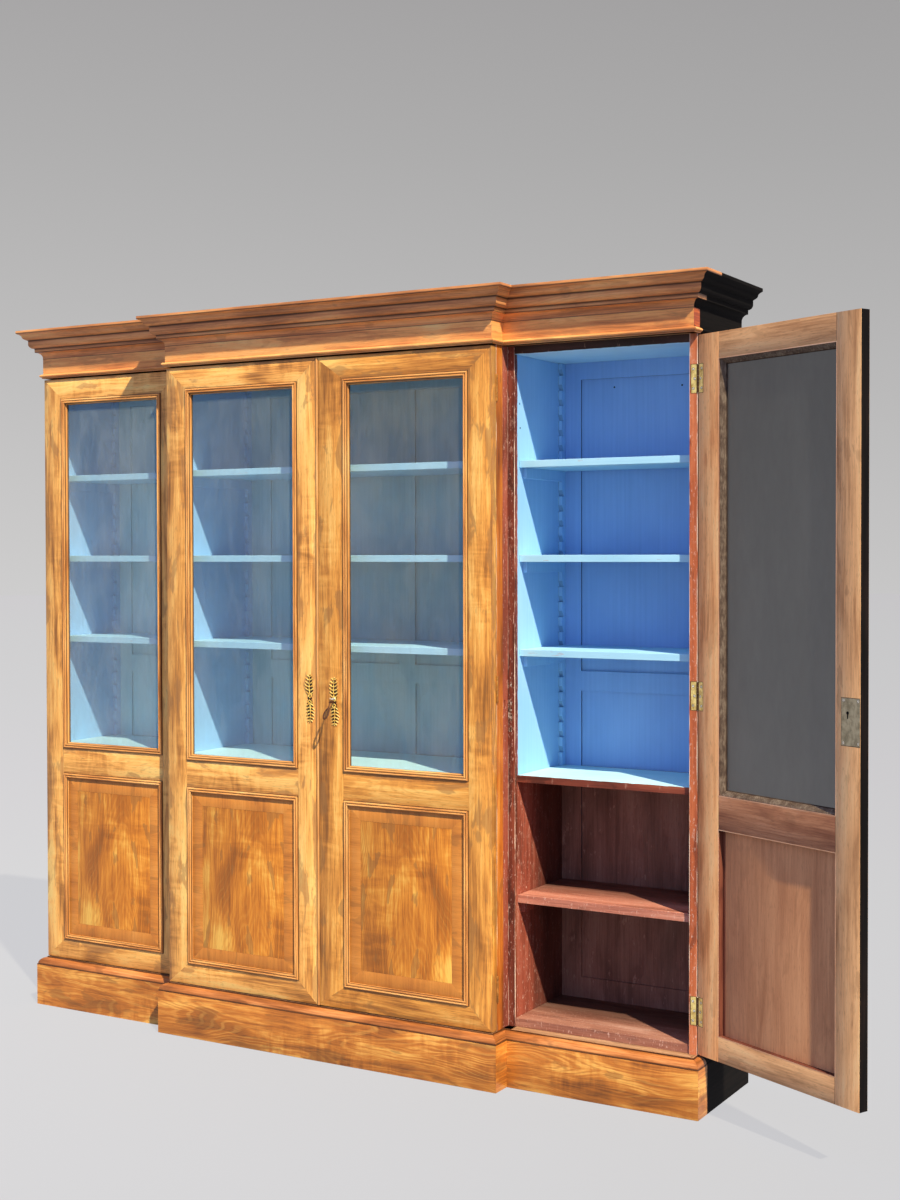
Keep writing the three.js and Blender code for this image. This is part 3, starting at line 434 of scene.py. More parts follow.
def shade_black(r, base):
    """Both ends of the bookcase are painted black as shade from about 35 mm behind the wings' front: black
    where the distance from the middle passes the end's plane and the depth passes the line."""
    axes = r.add("SeparateXYZ", {0: r.add("TexCoord", output=3)}).node.outputs
    outside = r.math("GREATER_THAN", r.math("ABSOLUTE", axes[0]), end_plane)
    behind = r.between(axes[1], end_line - 0.002, end_line + 0.002)
    return r.blend(r.math("MULTIPLY", outside, behind), base, colour(16, 12, 12))


unpolished = {"gloss": 0.5, "coat": 0.0, "gleam": 0.2}


def wood(name, palette, stain, gloss=0.36, coat=0.1, gleam=0.35, **grain):
    """Polished or bare wood with every pattern of the recipe above."""
    r = Recipe(name)
    palette = [colour(*shade) for shade in palette]
    base, relief, patches = grain_colour(r, palette, colour(*stain), **grain)
    base = darkened_by_dirt_and_shade(r, base)
    rough = r.between(patches, 0.3, 0.7, gloss - 0.05, gloss + 0.12)
    return r.finish(base, rough, relief, 0.00015, Coat_Weight=coat, Coat_Roughness=0.2,
                    Specular_IOR_Level=gleam)


veneered = {"bands": 0.35, "edges": 0.13, "rings": 0.3, "pores": 0.4}
pale_golden = wood("pale_golden_veneer", [(150, 96, 46), (216, 144, 68), (254, 184, 96), (255, 206, 120)],
                   (162, 112, 66), stain_share=0.55, **veneered)
golden = wood("golden_veneer", [(142, 88, 38), (200, 128, 54), (234, 160, 72), (255, 196, 106)],
              (154, 106, 58), stain_share=0.6, **veneered)
flame = wood("flame_veneer", [(146, 82, 28), (188, 108, 34), (222, 138, 46), (248, 190, 88)],
             (150, 100, 50), rings=0.3, glow=0.1, arch=True, contrast=0.9, cloud=(4.0, 8.0), wander=0.05,
             stain_share=0.55, bands=0.3, crisp=(0.58, 0.61))
crossband = wood("crossband", [(150, 88, 38), (196, 118, 48), (216, 136, 56), (230, 156, 78)],
                 (148, 94, 46), contrast=0.5, cloud=(3.0, 12.0), stain_share=0.4)
reeding = wood("reeded_mahogany", [(120, 72, 34), (194, 122, 60), (232, 160, 86), (252, 194, 120)],
               (140, 86, 44), contrast=0.7, cloud=(3.0, 22.0), stain_share=0.25)
moulding_wood = wood("plinth_moulding_mahogany", [(94, 50, 22), (148, 84, 38), (186, 110, 54), (222, 146, 84)],
                     (112, 64, 32), contrast=0.9, cloud=(3.0, 20.0), stain_share=0.4)
return_wood = wood("frieze_return", [(96, 32, 8), (156, 58, 16), (200, 90, 26), (240, 142, 62)],
                   (72, 26, 8), contrast=0.9, stain_share=0.7, crisp=(0.5, 0.56))
plinth_wood = wood("plinth_mahogany", [(126, 72, 32), (176, 102, 40), (208, 126, 50), (244, 178, 88)],
                   (134, 86, 42), cloud=(3.4, 13.0), wander=0.07, bands=0.4, rings=0.5, glow=0.3,
                   stain_share=0.5)
cornice_wood = wood("cornice_mahogany", [(138, 84, 48), (196, 122, 70), (236, 154, 90), (255, 184, 114)],
                    (166, 110, 70), gloss=0.42, contrast=0.8, stain_share=0.35, rings=0.3)
frieze_wood = wood("frieze_mahogany", [(154, 92, 50), (222, 138, 76), (255, 176, 98), (255, 204, 128)],
                   (176, 118, 74), gloss=0.42, contrast=0.7, stain_share=0.4, rings=0.3)
inside_wood = wood("door_inside", [(150, 98, 60), (208, 148, 98), (246, 184, 126), (255, 208, 150)],
                   (166, 116, 78), pores=0.4, stain_share=0.35, contrast=0.6, **unpolished)
# The middle rail's inside is a darker copy of the door's inside, as painted shade.
shaded_rail_inside = wood("middle_rail_inside", [(112, 66, 44), (154, 98, 70), (182, 122, 86), (204, 144, 106)],
                   (132, 86, 60), pores=0.4, stain_share=0.35, contrast=0.8, rings=0.4, **unpolished)
# The hinge stile's inside is a lighter copy, as painted light.
lit_hinge_wood = wood("hinge_stile_inside", [(170, 106, 64), (226, 150, 94), (255, 186, 124), (255, 208, 150)],
                  (178, 116, 74), pores=0.45, stain_share=0.3, contrast=0.7, **unpolished)
panel_back = wood("panel_back", [(148, 92, 60), (198, 132, 90), (224, 156, 108), (242, 176, 126)],
                  (174, 116, 78), pores=0.3, stain_share=0.25, contrast=0.4, rings=0.3, **unpolished)
# The edges of the openings are dark as painted shade.
shaded_edge_wood = wood("opening_edge", [(52, 26, 20), (82, 42, 32), (108, 56, 42), (130, 74, 54)], (66, 38, 30),
                 **unpolished)
# The open door's free edge is near black as painted shade.
shaded_free_edge = wood("shaded_free_edge", [(8, 6, 7), (13, 9, 10), (19, 13, 13), (30, 20, 18)], (14, 10, 10), gloss=0.7,
                 coat=0.0, gleam=0.1)
bare_board = wood("bare_board", [(112, 74, 50), (150, 106, 74), (178, 132, 96), (200, 156, 120)],
                  (126, 88, 62), gloss=0.6, coat=0.0, gleam=0.15, contrast=0.7, stain_share=0.5, pores=0.4,
                  rings=0.3)
arris_highlight = wood("arris_highlight", [(176, 122, 88), (214, 156, 116), (240, 184, 142), (255, 208, 168)],
                  (190, 138, 100), contrast=0.6, **unpolished)


def shade_black_finish():
    """Painted shade: the grain shows only as a little relief and a slow change between two near blacks."""
    r = Recipe("shade_black_wood")
    grain = r.add("UVMap", uv_map="grain")
    streaks = r.noise(grain, (4.0, 120.0, 1), 5.0)
    base = r.ramp(streaks, (0.35, colour(9, 7, 8)), (0.65, colour(22, 16, 15)))
    return r.finish(base, 0.85, streaks, 0.0002, Specular_IOR_Level=0.12)


shade_black_wood = shade_black_finish()
print("woods", len([m for m in bpy.data.materials if m.users == 0]))

# %% [markdown]
# ## Finishes: paint over the bare case
# Inside, the upper part of every case is painted sky blue and the lower part is bare red-brown wood. The
# painter stopped about a thumb's width behind the front edges. Since a board is painted only inside and
# above the fixed shelf, one material does both: it reads the place of the surface, in metres, and mixes
# paint over wood where that place lies within the painted room. Brush marks follow the grain, and the bare
# wood is scuffed with chalky specks and painted darker toward the back of the bay, as shade.

# %% Painted boards
def within(r, axes, rooms, waver=None):
    """One where the place lies in any of the rooms. A room is a list of (axis, sign, limit), which holds
    where sign times the place exceeds sign times the limit for every entry."""
    found = None
    for room in rooms:
        inside = None
        for axis, sign, limit in room:
            step = r.math("ADD", r.math("MULTIPLY", axes[axis], float(sign)), -sign * limit)
            step = r.math("ADD", step, waver) if waver is not None and axis == 1 else step
            step = r.math("GREATER_THAN", step, 0.0)
            inside = step if inside is None else r.math("MULTIPLY", inside, step)
        found = inside if found is None else r.math("MAXIMUM", found, inside)
    return found


def shades(*row):
    return [colour(*shade) for shade in row]


bare = shades((118, 66, 50), (162, 96, 76), (196, 122, 98), (226, 162, 138))
bare_wall = shades((86, 38, 27), (126, 59, 43), (162, 80, 60), (192, 113, 91))
bare_back = shades((86, 56, 46), (114, 76, 62), (138, 96, 80), (158, 116, 98))
front_red = shades((66, 28, 18), (96, 42, 28), (124, 56, 38), (154, 78, 52))
front_orange = shades((120, 56, 32), (164, 80, 46), (190, 98, 56), (216, 128, 84))
gold = shades((110, 54, 20), (164, 86, 28), (200, 110, 36), (230, 148, 64))
floor_bare = shades((108, 64, 50), (144, 90, 72), (172, 116, 94), (206, 158, 138))
rear_bare = shades((112, 74, 50), (150, 106, 74), (178, 132, 96), (200, 156, 120))
# Near black for the tops' front edges: painted shade.
front_edge_shade = shades((30, 17, 15), (46, 27, 23), (64, 38, 32), (84, 50, 40))
# One sky-blue paint in lit and shaded copies: shelves, the fixed shelf's top, the ceiling and the left back are
# lighter as painted light; the right and centre backs are darker, the centre one greyer, as painted shade.
clear_sky = shades((147, 196, 237), (155, 202, 243), (165, 210, 249))
shaded_back_sky = shades((134, 172, 226), (143, 181, 234), (153, 191, 242))
lit_shelf_sky = shades((160, 210, 234), (170, 218, 240), (181, 226, 246))
lit_fixed_sky = shades((186, 228, 236), (197, 237, 242), (208, 244, 248))
lit_ceiling_sky = shades((190, 226, 244), (200, 234, 250), (210, 241, 255))
lit_left_sky = shades((190, 224, 232), (203, 236, 242), (214, 244, 250))
shaded_centre_sky = shades((154, 192, 204), (167, 206, 219), (181, 218, 230))


def near_dots(r, place, dots, size):
    """One where the place is closer than the size to any dot."""
    found = None
    for dot in dots:
        apart = r.add("VectorMath", {0: place, 1: dot}, 1, operation="DISTANCE")
        hit = r.math("LESS_THAN", apart, size)
        found = hit if found is None else r.math("MAXIMUM", found, hit)
    return found


def case_finish(name, rooms=(), worn=0.0, polished=(), ends=False, fronts=(), wood=bare, front=front_red,
                sky=clear_sky, shaded_seams=(), seam_shade_depth=0.75, dots=(), arris=(), battered=(), depth=0.0):
    """Bare wood, with red polish where the place lies in fronts, golden polish where it lies in polished,
    black as painted shade at the ends, and paint wherever it lies in rooms, whose limits waver by a
    millimetre. Seams are painted shade in corners and notches, dots are dark spots for the peg holes'
    painted shade and for nail heads, an arris is made pale as wear and painted highlight, and battered wood
    has dark and pale specks. Bare wood darkens as painted shade from the front to the back of the bay by
    the share in depth."""
    r = Recipe(name)
    base, relief, patches = grain_colour(r, wood, colour(88, 52, 42), contrast=0.6, pores=0.4, stain_share=0.3)
    place = r.add("TexCoord", output=3)
    axes = r.add("SeparateXYZ", {0: place}).node.outputs
    if fronts:
        red, _, _ = grain_colour(r, front, front[0], contrast=0.8, stain_share=0.7)
        base = r.blend(within(r, axes, fronts), base, red)
    scuffs = r.noise(place, (60.0, 60.0, 22.0), 6.0, 0.7)
    base = r.blend(r.between(scuffs, 0.6, 0.66, 0.0, 0.3), base, colour(206, 160, 138))
    # The darkening toward the back of the bay is painted shade; the chalky specks are wear.
    if depth:
        chalk = r.noise(place, (210.0, 210.0, 70.0), 3.0, 0.7)
        base = r.blend(r.between(chalk, 0.6, 0.66, 0.0, 0.6), base, colour(230, 190, 172))
        base = r.blend(r.between(axes[1], 0.08, 0.22, 0.0, depth), base, colour(26, 14, 13))
    if polished:
        golden_wood, _, _ = grain_colour(r, gold, colour(140, 84, 40), rings=0.2)
        base = r.blend(within(r, axes, polished), base, golden_wood)
    # The pale arris is partly wear and partly a painted highlight.
    if arris:
        rubbed_and_lit = r.between(r.noise(place, (90.0, 90.0, 9.0), 4.0, 0.6), 0.42, 0.6)
        base = r.blend(r.math("MULTIPLY", within(r, axes, arris), rubbed_and_lit), base, colour(236, 206, 182))
    if battered:
        specks = r.ramp(r.noise(place, (330.0, 330.0, 120.0), 3.0, 0.7), (0.42, colour(24, 14, 12)),
                        (0.52, colour(120, 84, 60)), (0.6, colour(226, 214, 200)))
        dents = r.between(r.noise(place, (120.0, 120.0, 40.0), 3.0, 0.6), 0.46, 0.54)
        base = r.blend(r.math("MULTIPLY", within(r, axes, battered), dents), base, specks)
    # The black at both ends is painted shade.
    if ends:
        base = shade_black(r, base)
    rough = r.between(patches, 0.3, 0.7, 0.5, 0.72)
    if rooms:
        waver = r.between(r.noise(place, (25.0, 25.0, 25.0), 3.0), 0.3, 0.7, -0.0012, 0.0012)
        painted = within(r, axes, rooms, waver)
        if worn:
            chips = r.between(r.noise(place, (14.0, 60.0, 90.0), 5.0, 0.65), 0.65, 0.68, 0.0, worn)
            painted = r.math("MULTIPLY", painted, r.math("SUBTRACT", 1.0, chips))
        brush = r.noise(r.add("UVMap", uv_map="grain"), (2.5, 120.0, 1), 3.0)
        cloud = r.noise(place, (3.5, 3.5, 2.0), 4.0)
        paint = r.ramp(r.sum((brush, 0.3), (cloud, 0.7)), *zip((0.36, 0.5, 0.64), sky))
        base = r.blend(painted, base, paint)
        rough = r.add("Mix", {0: painted, 2: rough, 3: 0.55}, 0)
        relief = r.add("Mix", {0: painted, 2: relief, 3: r.math("MULTIPLY", brush, 0.3)}, 0)
    # Seams: painted shade in the corners by the toothed strips, in their notches and round the sunk fields.
    if shaded_seams:
        base = r.blend(r.math("MULTIPLY", within(r, axes, shaded_seams), seam_shade_depth), base, colour(30, 44, 66))
    # Dark dots: painted shade for the peg holes, and the nail heads.
    if dots:
        base = r.blend(near_dots(r, place, dots, 0.0028), base, colour(22, 26, 34))
    return r.finish(darkened_by_dirt_and_shade(r, base), rough, relief, 0.0002, Specular_IOR_Level=0.35)


print("paint ready")

# %% [markdown]
# ## Finishes: metal, glass and putty
# The brass is old: where hands rub it, it is bright, and elsewhere it is brown. The lock plate and the key
# are darker. The panes are thin old glass with a film of dust, so they are a faint grey surface that lets
# most of what is behind it through, mixed by an Alpha that a cloudy noise moves a little. Only the open
# door's pane is a nearly opaque grey mirror, whose grey is painted shade and reflection, and lets little
# through.

# %% Metals, glass, putty
def metal(name, bright, dull, rough, metallic=1.0, scale=(90.0, 90.0, 60.0)):
    """Two colours of one metal in clouds, with fine scratches in its roughness."""
    r = Recipe(name)
    place = r.add("TexCoord", output=3)
    cloud = r.noise(place, scale, 5.0, 0.65)
    scratch = r.noise(place, (900.0, 900.0, 140.0), 3.0)
    base = r.ramp(cloud, (0.36, dull), (0.6, bright))
    return r.finish(base, r.between(r.sum((cloud, 0.5), (scratch, 0.5)), 0.3, 0.7, rough + 0.15, rough - 0.08),
                    scratch, 0.00005, Metallic=metallic)


def pane_finish(name, film, clear, rough=0.15, mirror=0.0):
    """Glass under dust: Alpha runs between two values in soft upright clouds. Mirror makes it reflect."""
    r = Recipe(name)
    place = r.add("TexCoord", output=3)
    cloud = r.noise(place, (9.0, 9.0, 3.5), 5.0, 0.62)
    speck = r.noise(place, (60.0, 60.0, 16.0), 4.0, 0.7)
    dust = r.sum((cloud, 0.65), (speck, 0.35))
    alpha = r.between(dust, 0.36, 0.66, *clear)
    return r.finish(r.ramp(dust, (0.36, film[0]), (0.66, film[1])), rough, Alpha=alpha, Specular_IOR_Level=0.3,
                    Metallic=mirror)


brass = metal("brass", colour(252, 226, 146), colour(190, 152, 78), 0.38, 0.5)
shade_brass = metal("shade_brass", colour(84, 54, 22), colour(46, 28, 12), 0.55, 0.3)
shadow_brass = metal("shadow_brass", colour(74, 44, 14), colour(44, 25, 8), 0.8, 0.0)
old_brass = metal("rubbed_brass", colour(206, 142, 70), colour(128, 82, 40), 0.45, 0.5)
lock_brass = metal("tarnished_brass", colour(182, 170, 144), colour(142, 132, 108), 0.46, 0.7)
iron = metal("browned_iron", colour(118, 74, 50), colour(58, 32, 22), 0.5, 0.5)
pewter = metal("screw_steel", colour(255, 248, 232), colour(206, 190, 156), 0.4, 0.3)
dusty_film = (colour(166, 176, 180), colour(186, 194, 196))
warm_film = (colour(172, 158, 136), colour(196, 184, 160))
# The open door's pane: grey and mostly mirror, as painted shade and reflection.
shaded_glass = pane_finish("shaded_glass", (colour(112, 112, 112), colour(118, 118, 118)), (0.92, 0.95),
                           rough=0.3, mirror=0.85)
# The escutcheons' small bright and dull specks are painted highlights.
glinting_cast_brass = metal("glinting_cast_brass", colour(255, 224, 120), colour(216, 146, 50), 0.35, 0.0, (170.0, 170.0, 150.0))


def putty_finish():
    r = Recipe("glazing_fillet")
    place = r.add("TexCoord", output=3)
    lumps = r.noise(place, (40.0, 40.0, 40.0), 4.0)
    specks = r.noise(place, (300.0, 300.0, 60.0), 3.0, 0.6)
    base = r.ramp(r.sum((lumps, 0.5), (specks, 0.5)), (0.38, colour(76, 58, 46)), (0.5, colour(104, 84, 68)),
                  (0.62, colour(140, 120, 100)))
    return r.finish(darkened_by_dirt_and_shade(r, base), r.between(lumps, 0.3, 0.7, 0.6, 0.8), lumps, 0.0003, Specular_IOR_Level=0.2)


putty = putty_finish()
print("metals and glass ready")

# %% [markdown]
# ## The cases
# The sides, tops, floors, backs and shelves are already right in the CAD model, down to the housings and
# the toothed strips, so each one is copied, its loose triangles are welded and flattened into whole faces,
# and a narrow Bevel breaks the edges as a plane would. The grain map is laid on by the face's direction:
# each face takes the grain axis of its board as its first number.

# %% Boards from the CAD nodes
def case_board(node, grain, finish, bevel=0.9):
    """Copies a CAD node, welds it, dissolves its flat edges and lays the grain along one axis (0, 1, 2)."""
    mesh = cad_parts[node].data.copy()
    work = bmesh.new()
    work.from_mesh(mesh)
    bmesh.ops.remove_doubles(work, verts=work.verts, dist=0.00002)
    bmesh.ops.dissolve_limit(work, angle_limit=np.radians(1), verts=work.verts, edges=work.edges)
    work.to_mesh(mesh)
    work.free()
    mesh.materials.clear()
    mesh.materials.append(finish)
    count = len(mesh.loops)
    spots, points = np.empty(count, np.int32), np.empty(len(mesh.vertices) * 3)
    mesh.loops.foreach_get("vertex_index", spots)
    mesh.vertices.foreach_get("co", points)
    normals, totals = np.empty(len(mesh.polygons) * 3), np.empty(len(mesh.polygons), np.int32)
    mesh.polygons.foreach_get("normal", normals)
    mesh.polygons.foreach_get("loop_total", totals)
    place = points.reshape(-1, 3)[spots]
    facing = np.abs(np.repeat(normals.reshape(-1, 3), totals, 0))
    facing[:, grain] = 0
    others = [axis for axis in range(3) if axis != grain]
    across = np.where(facing[:, others[0]] > facing[:, others[1]], place[:, others[1]], place[:, others[0]])
    uv = np.stack([place[:, grain], across], -1) + luck.uniform(0, 40, 2)
    while mesh.uv_layers:
        mesh.uv_layers.remove(mesh.uv_layers[0])
    mesh.uv_layers.new(name="grain").data.foreach_set("uv", uv.astype(np.float32).ravel())
    mesh.shade_flat()
    piece = bpy.data.objects.new(node + "_board", mesh)
    bpy.context.scene.collection.objects.link(piece)
    edge = piece.modifiers.new("eased edges", "BEVEL")
    edge.width = bevel * mm
    edge.segments = 2
    edge.limit_method = "ANGLE"
    edge.angle_limit = np.radians(40)
    edge.harden_normals = True
    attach(piece, "carcase")
    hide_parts(node)
    return piece


side_thickness = 23.0
bays = {
    "left": {"inner": (-1138.0, -606.6), "front": 29.6, "sides": ("left_side", "left_inner_side")},
    "centre": {"inner": (-560.0, 560.0), "front": -34.4, "sides": ("centre_left_side", "centre_right_side")},
    "right": {"inner": (606.6, 1138.0), "front": 29.6, "sides": ("right_inner_side", "right_side")},
}
paint_foot, paint_line, back_front, ceiling = 876.0, 17.0, 326.0, 2071.7
strip_deep, strip_out, field_deep = 24.0, 13.0, 6.0
wing_front = bays["right"]["front"] * mm
# The peg holes are not cut: they are dark dots of painted shade.
peg_holes = [(0.6066, 0.0607, 1.9337), (0.6066, 0.0635, 1.8651)]
nail_heads = [(0.7766, 0.332, 1.9951), (0.9903, 0.332, 1.9905)]
back_skies_lit_and_shaded = {"left": lit_left_sky, "centre": shaded_centre_sky, "right": shaded_back_sky}
rear_face = 0.3405
boards = 0
for bay, sizes in bays.items():
    low, high = sizes["inner"]
    line = (sizes["front"] + paint_line) * mm
    above = (2, 1, (paint_foot - 0.4) * mm)
    seen_plainly = bay == "right"
    for side, plane, inward in zip(sizes["sides"], (low, high), (1, -1)):
        room = [above, (1, 1, line), (0, inward, (plane - inward * 2) * mm)]
        outer = [[(0, -inward, (plane - inward * (side_thickness - 0.3)) * mm), (1, -1, 0.0015)]]
        # The corner beside the toothed strip and its notches are darkened as painted shade.
        behind_strip = (1, 1, (back_front - strip_deep - 0.4) * mm)
        corner = [behind_strip, (0, inward, (plane + inward * 0.2) * mm),
                  (0, -inward, (plane + inward * 3.0) * mm)]
        notches = [(1, 1, (back_front - strip_deep + 0.6) * mm), (0, inward, (plane + inward * 3.0) * mm),
                   (0, -inward, (plane + inward * (strip_out - 0.3)) * mm)]
        front_edge = (1, -1, (sizes["front"] + 1.4) * mm)
        rubbed_and_lit = [[front_edge, (0, inward, (plane - inward * 1.6) * mm)],
                  [front_edge, (0, -inward, (plane - inward * (side_thickness - 1.6)) * mm)]]
        strike = [[(1, -1, wing_front + 0.003), (2, 1, 1.0), (2, -1, 1.17), (0, -1, 0.5975)]]
        finish = case_finish(side + "_finish", [room], polished=outer if bay == "centre" else (),
                             ends=bay != "centre", fronts=[[(1, -1, line - 0.006)]], wood=bare_wall,
                             front=front_orange if side == "right_side" else front_red, shaded_seams=[corner, notches],
                             seam_shade_depth=0.3 if seen_plainly else 0.08,
                             dots=peg_holes if side == "right_inner_side" else (), arris=rubbed_and_lit,
                             battered=strike if side == "right_inner_side" else (), depth=0.72)
        case_board(side, 2, finish)
    # The edges of the sunk fields are darkened as painted shade.
    sunk = [[(1, 1, (back_front + 0.3) * mm), (1, -1, (back_front + field_deep - 0.3) * mm), (2, 1, 0.6)]]
    rear = case_finish(bay + "_back_finish", [[above, (1, -1, (back_front + 8) * mm)]], wood=bare_back,
                       fronts=[[(1, 1, rear_face)]], front=rear_bare, sky=back_skies_lit_and_shaded[bay], shaded_seams=sunk,
                       seam_shade_depth=0.75 if seen_plainly else 0.4, dots=nail_heads if seen_plainly else ())
    case_board(bay + "_back", 2, rear, 0.3)
    # The top's front edge is painted near black as shade.
    lid = case_finish(bay + "_top_finish", [[(2, -1, (ceiling + 0.6) * mm), (1, 1, line - 0.014)]],
                      fronts=[[(1, -1, line - 0.006)]], front=front_edge_shade, sky=lit_ceiling_sky)
    case_board(bay + "_top", 0, lid)
    shelf = case_finish(bay + "_fixed_finish", [[(2, 1, (paint_foot - 0.5) * mm), (1, 1, line - 0.003)]],
                        fronts=[[(1, -1, line - 0.002)]], sky=lit_fixed_sky)
    case_board(bay + "_fixed_shelf", 0, shelf)
    plain = case_finish(bay + "_bare_finish", depth=0.7)
    case_board(bay + "_floor", 0, case_finish(bay + "_floor_finish", wood=floor_bare, depth=0.72))
    case_board(bay + "_low_shelf", 0, plain)
    painted = case_finish(bay + "_shelf_finish", [[(2, 1, 0.0)]], worn=0.35, sky=lit_shelf_sky)
    for number in (1, 2, 3):
        case_board(f"{bay}_shelf_{number}", 0, painted, 1.2)
    boards += 10
print(boards, "boards dressed")

# %% [markdown]
# ## Plinth and cornice
# Both frames follow the break in the front, so both are lengths of board and moulding carried along the
# same plan. The plinth's face board on the left wing is cut at its foot, beside the break, to clear a
# skirting; there the length stops short and a piece with a sloping foot fills the rest.

# %% Plinth
finish_line = 38.0


def along_plan(profile, out=0.0, back=case_depth, closed=False, dirt_and_shade=0.0, skip=(), sides=0):
    """Lengths round the front, from one finish line to the other, or round the whole plan when closed."""
    path = plan_corners(out, back if closed else finish_line)
    return lengths(path, profile, upright, closed, dirt_and_shade, sides=sides, skip=skip)


def returns(profile, side):
    """The lengths behind the finish lines, at both ends, painted black as shade."""
    right = [(half_total, case_depth), (half_total, finish_line)]
    left = [(-half_total, finish_line), (-half_total, case_depth)]
    return lengths(right, profile, upright, sides=side) + lengths(left, profile, upright, sides=side)


def slab(outline, depth):
    """A flat piece: an outline in its own plane, between two depths, with the grain along its flat faces."""
    outline = np.asarray(outline, float)
    rings = np.stack([np.column_stack([outline, np.full(len(outline), d)]) for d in depth])
    part = loft(rings, np.asarray(depth) * mm, distances(outline) * mm)
    part["uv"][-2 * len(outline):] = np.concatenate([outline[::-1], outline]) * mm + luck.uniform(0, 40, 2)
    return part


def facing_front(points):
    """From across, up and how far forward to the bookcase's frame, in metres."""
    return np.stack([points[:, 0], -points[:, 2], points[:, 1]], -1) * mm


plinth_out, plinth_face, plinth_top, plinth_board = 26.0, 133.0, 158.0, 30.0
all_bare, inside_bare, shaded_inside_bare = (2, 2, 2, 2), np.array([0, 0, 0, 2]), np.array([1, 1, 1, 2])
hair = 0.3
face_board, face_side = eased(plinth_board, plinth_face, 1.2)
face_board = face_board + [plinth_out - plinth_board, 0]
bearing_ring, _ = eased(60.0, plinth_top - plinth_face + 10, 0.6)
bearing_ring = bearing_ring + [-60.0, plinth_face - 10]
left_wing_leg = 5
plinth = along_plan(face_board, skip=(left_wing_leg,), sides=inside_bare[face_side])
plinth += along_plan(bearing_ring, -hair, case_depth - hair, True, sides=2)
plinth += returns(face_board, side=shaded_inside_bare[face_side])
rail_half = half_total - 4.3
plinth += placed([board((-rail_half, case_depth - plinth_board, 0), ACROSS, UP, BACK, 2 * rail_half,
                        plinth_top - 25.3, plinth_board - hair, all_bare)], upright)
inner, outer = -half_centre - plinth_out, -half_total - plinth_out
scribe = np.array([(inner - 24, 0), (inner - 24, 14), (inner, 50), (inner, plinth_face), (outer, plinth_face),
                   (outer, 0)], float)
plinth += placed([slab(scribe, (plinth_out - plinth_board, plinth_out))], facing_front)
for x, front in ((inner, hair), (-plinth_board / 2, hair - break_depth), (-inner - plinth_board, hair)):
    bearer = board((x, front, 0), BACK, ACROSS, UP, 334.0 - front, plinth_board, plinth_top, all_bare)
    plinth += placed([bearer], upright)
assemble("plinth_boards", plinth, [plinth_wood, shade_black_wood, bare_board], "carcase",
         ["plinth_frame"])

ovolo = arc((2, 135.3), (22, 19.7), 90, 0, 12)[1:-1]
plinth_profile = np.array([(26, 133.3), (26, 135.3), (24, 135.3), *ovolo[::-1], (2, 155), (2, plinth_top),
                           (0, plinth_top), (0, 133.3)])
plinth_profile, plinth_dirt_and_shade = with_dirt_and_shade(plinth_profile, (0, 2, 14, 15), (3.4, 2.0, 1.6, 2.4))
plinth_run = along_plan(plinth_profile, dirt_and_shade=plinth_dirt_and_shade) + returns(plinth_profile, side=1)
assemble("plinth_moulding_run", plinth_run, [moulding_wood, shade_black_wood], "carcase",
         ["plinth_moulding"])
print("plinth made")

# %% Cornice
cornice_floor, cornice_top, frieze_out, frieze_board = 2094.0, 2250.0, 3.0, 22.0
frieze, frieze_side = eased(frieze_board, cornice_top - cornice_floor, 0.8)
frieze = frieze + [frieze_out - frieze_board, cornice_floor]
bearing, _ = eased(62.0 + frieze_out, 25.0, 0.6)
bearing = bearing + [-62.0, cornice_floor]
cornice = along_plan(frieze, sides=inside_bare[frieze_side], skip=(0,))
right_end = [(half_total, finish_line), (half_total, 0.0), (half_centre, 0.0)]
left_end = [(-half_centre, 0.0), (-half_total, 0.0), (-half_total, finish_line)]
cornice += lengths(right_end, frieze, upright, sides=3, skip=(1,))
cornice += returns(frieze, side=shaded_inside_bare[frieze_side])
cornice += along_plan(bearing - [3.5, 0], -hair, case_depth - hair, True, sides=2)
back_half, back_foot = half_total - 20, cornice_floor + 25.3
cornice += placed([board((-back_half, case_depth - frieze_board, back_foot), ACROSS, UP, BACK, 2 * back_half,
                         cornice_top - back_foot, frieze_board - hair, all_bare)], upright)
astragal = arc((frieze_out, 2102.5), (9, 5.5), -90, 90, 12)[1:-1]
necking = np.array([(-1, 2094), (6, 2094), (6, 2097), *astragal, (3, 2108), (-1, 2108)])
necking, necking_dirt_and_shade = with_dirt_and_shade(necking[::-1], (1, len(necking) - 4), 1.2)
cornice += along_plan(necking, dirt_and_shade=necking_dirt_and_shade) + returns(necking, side=1)
assemble("cornice_boards", cornice, [frieze_wood, shade_black_wood, bare_board, return_wood], "carcase",
         ["cornice_frame"])


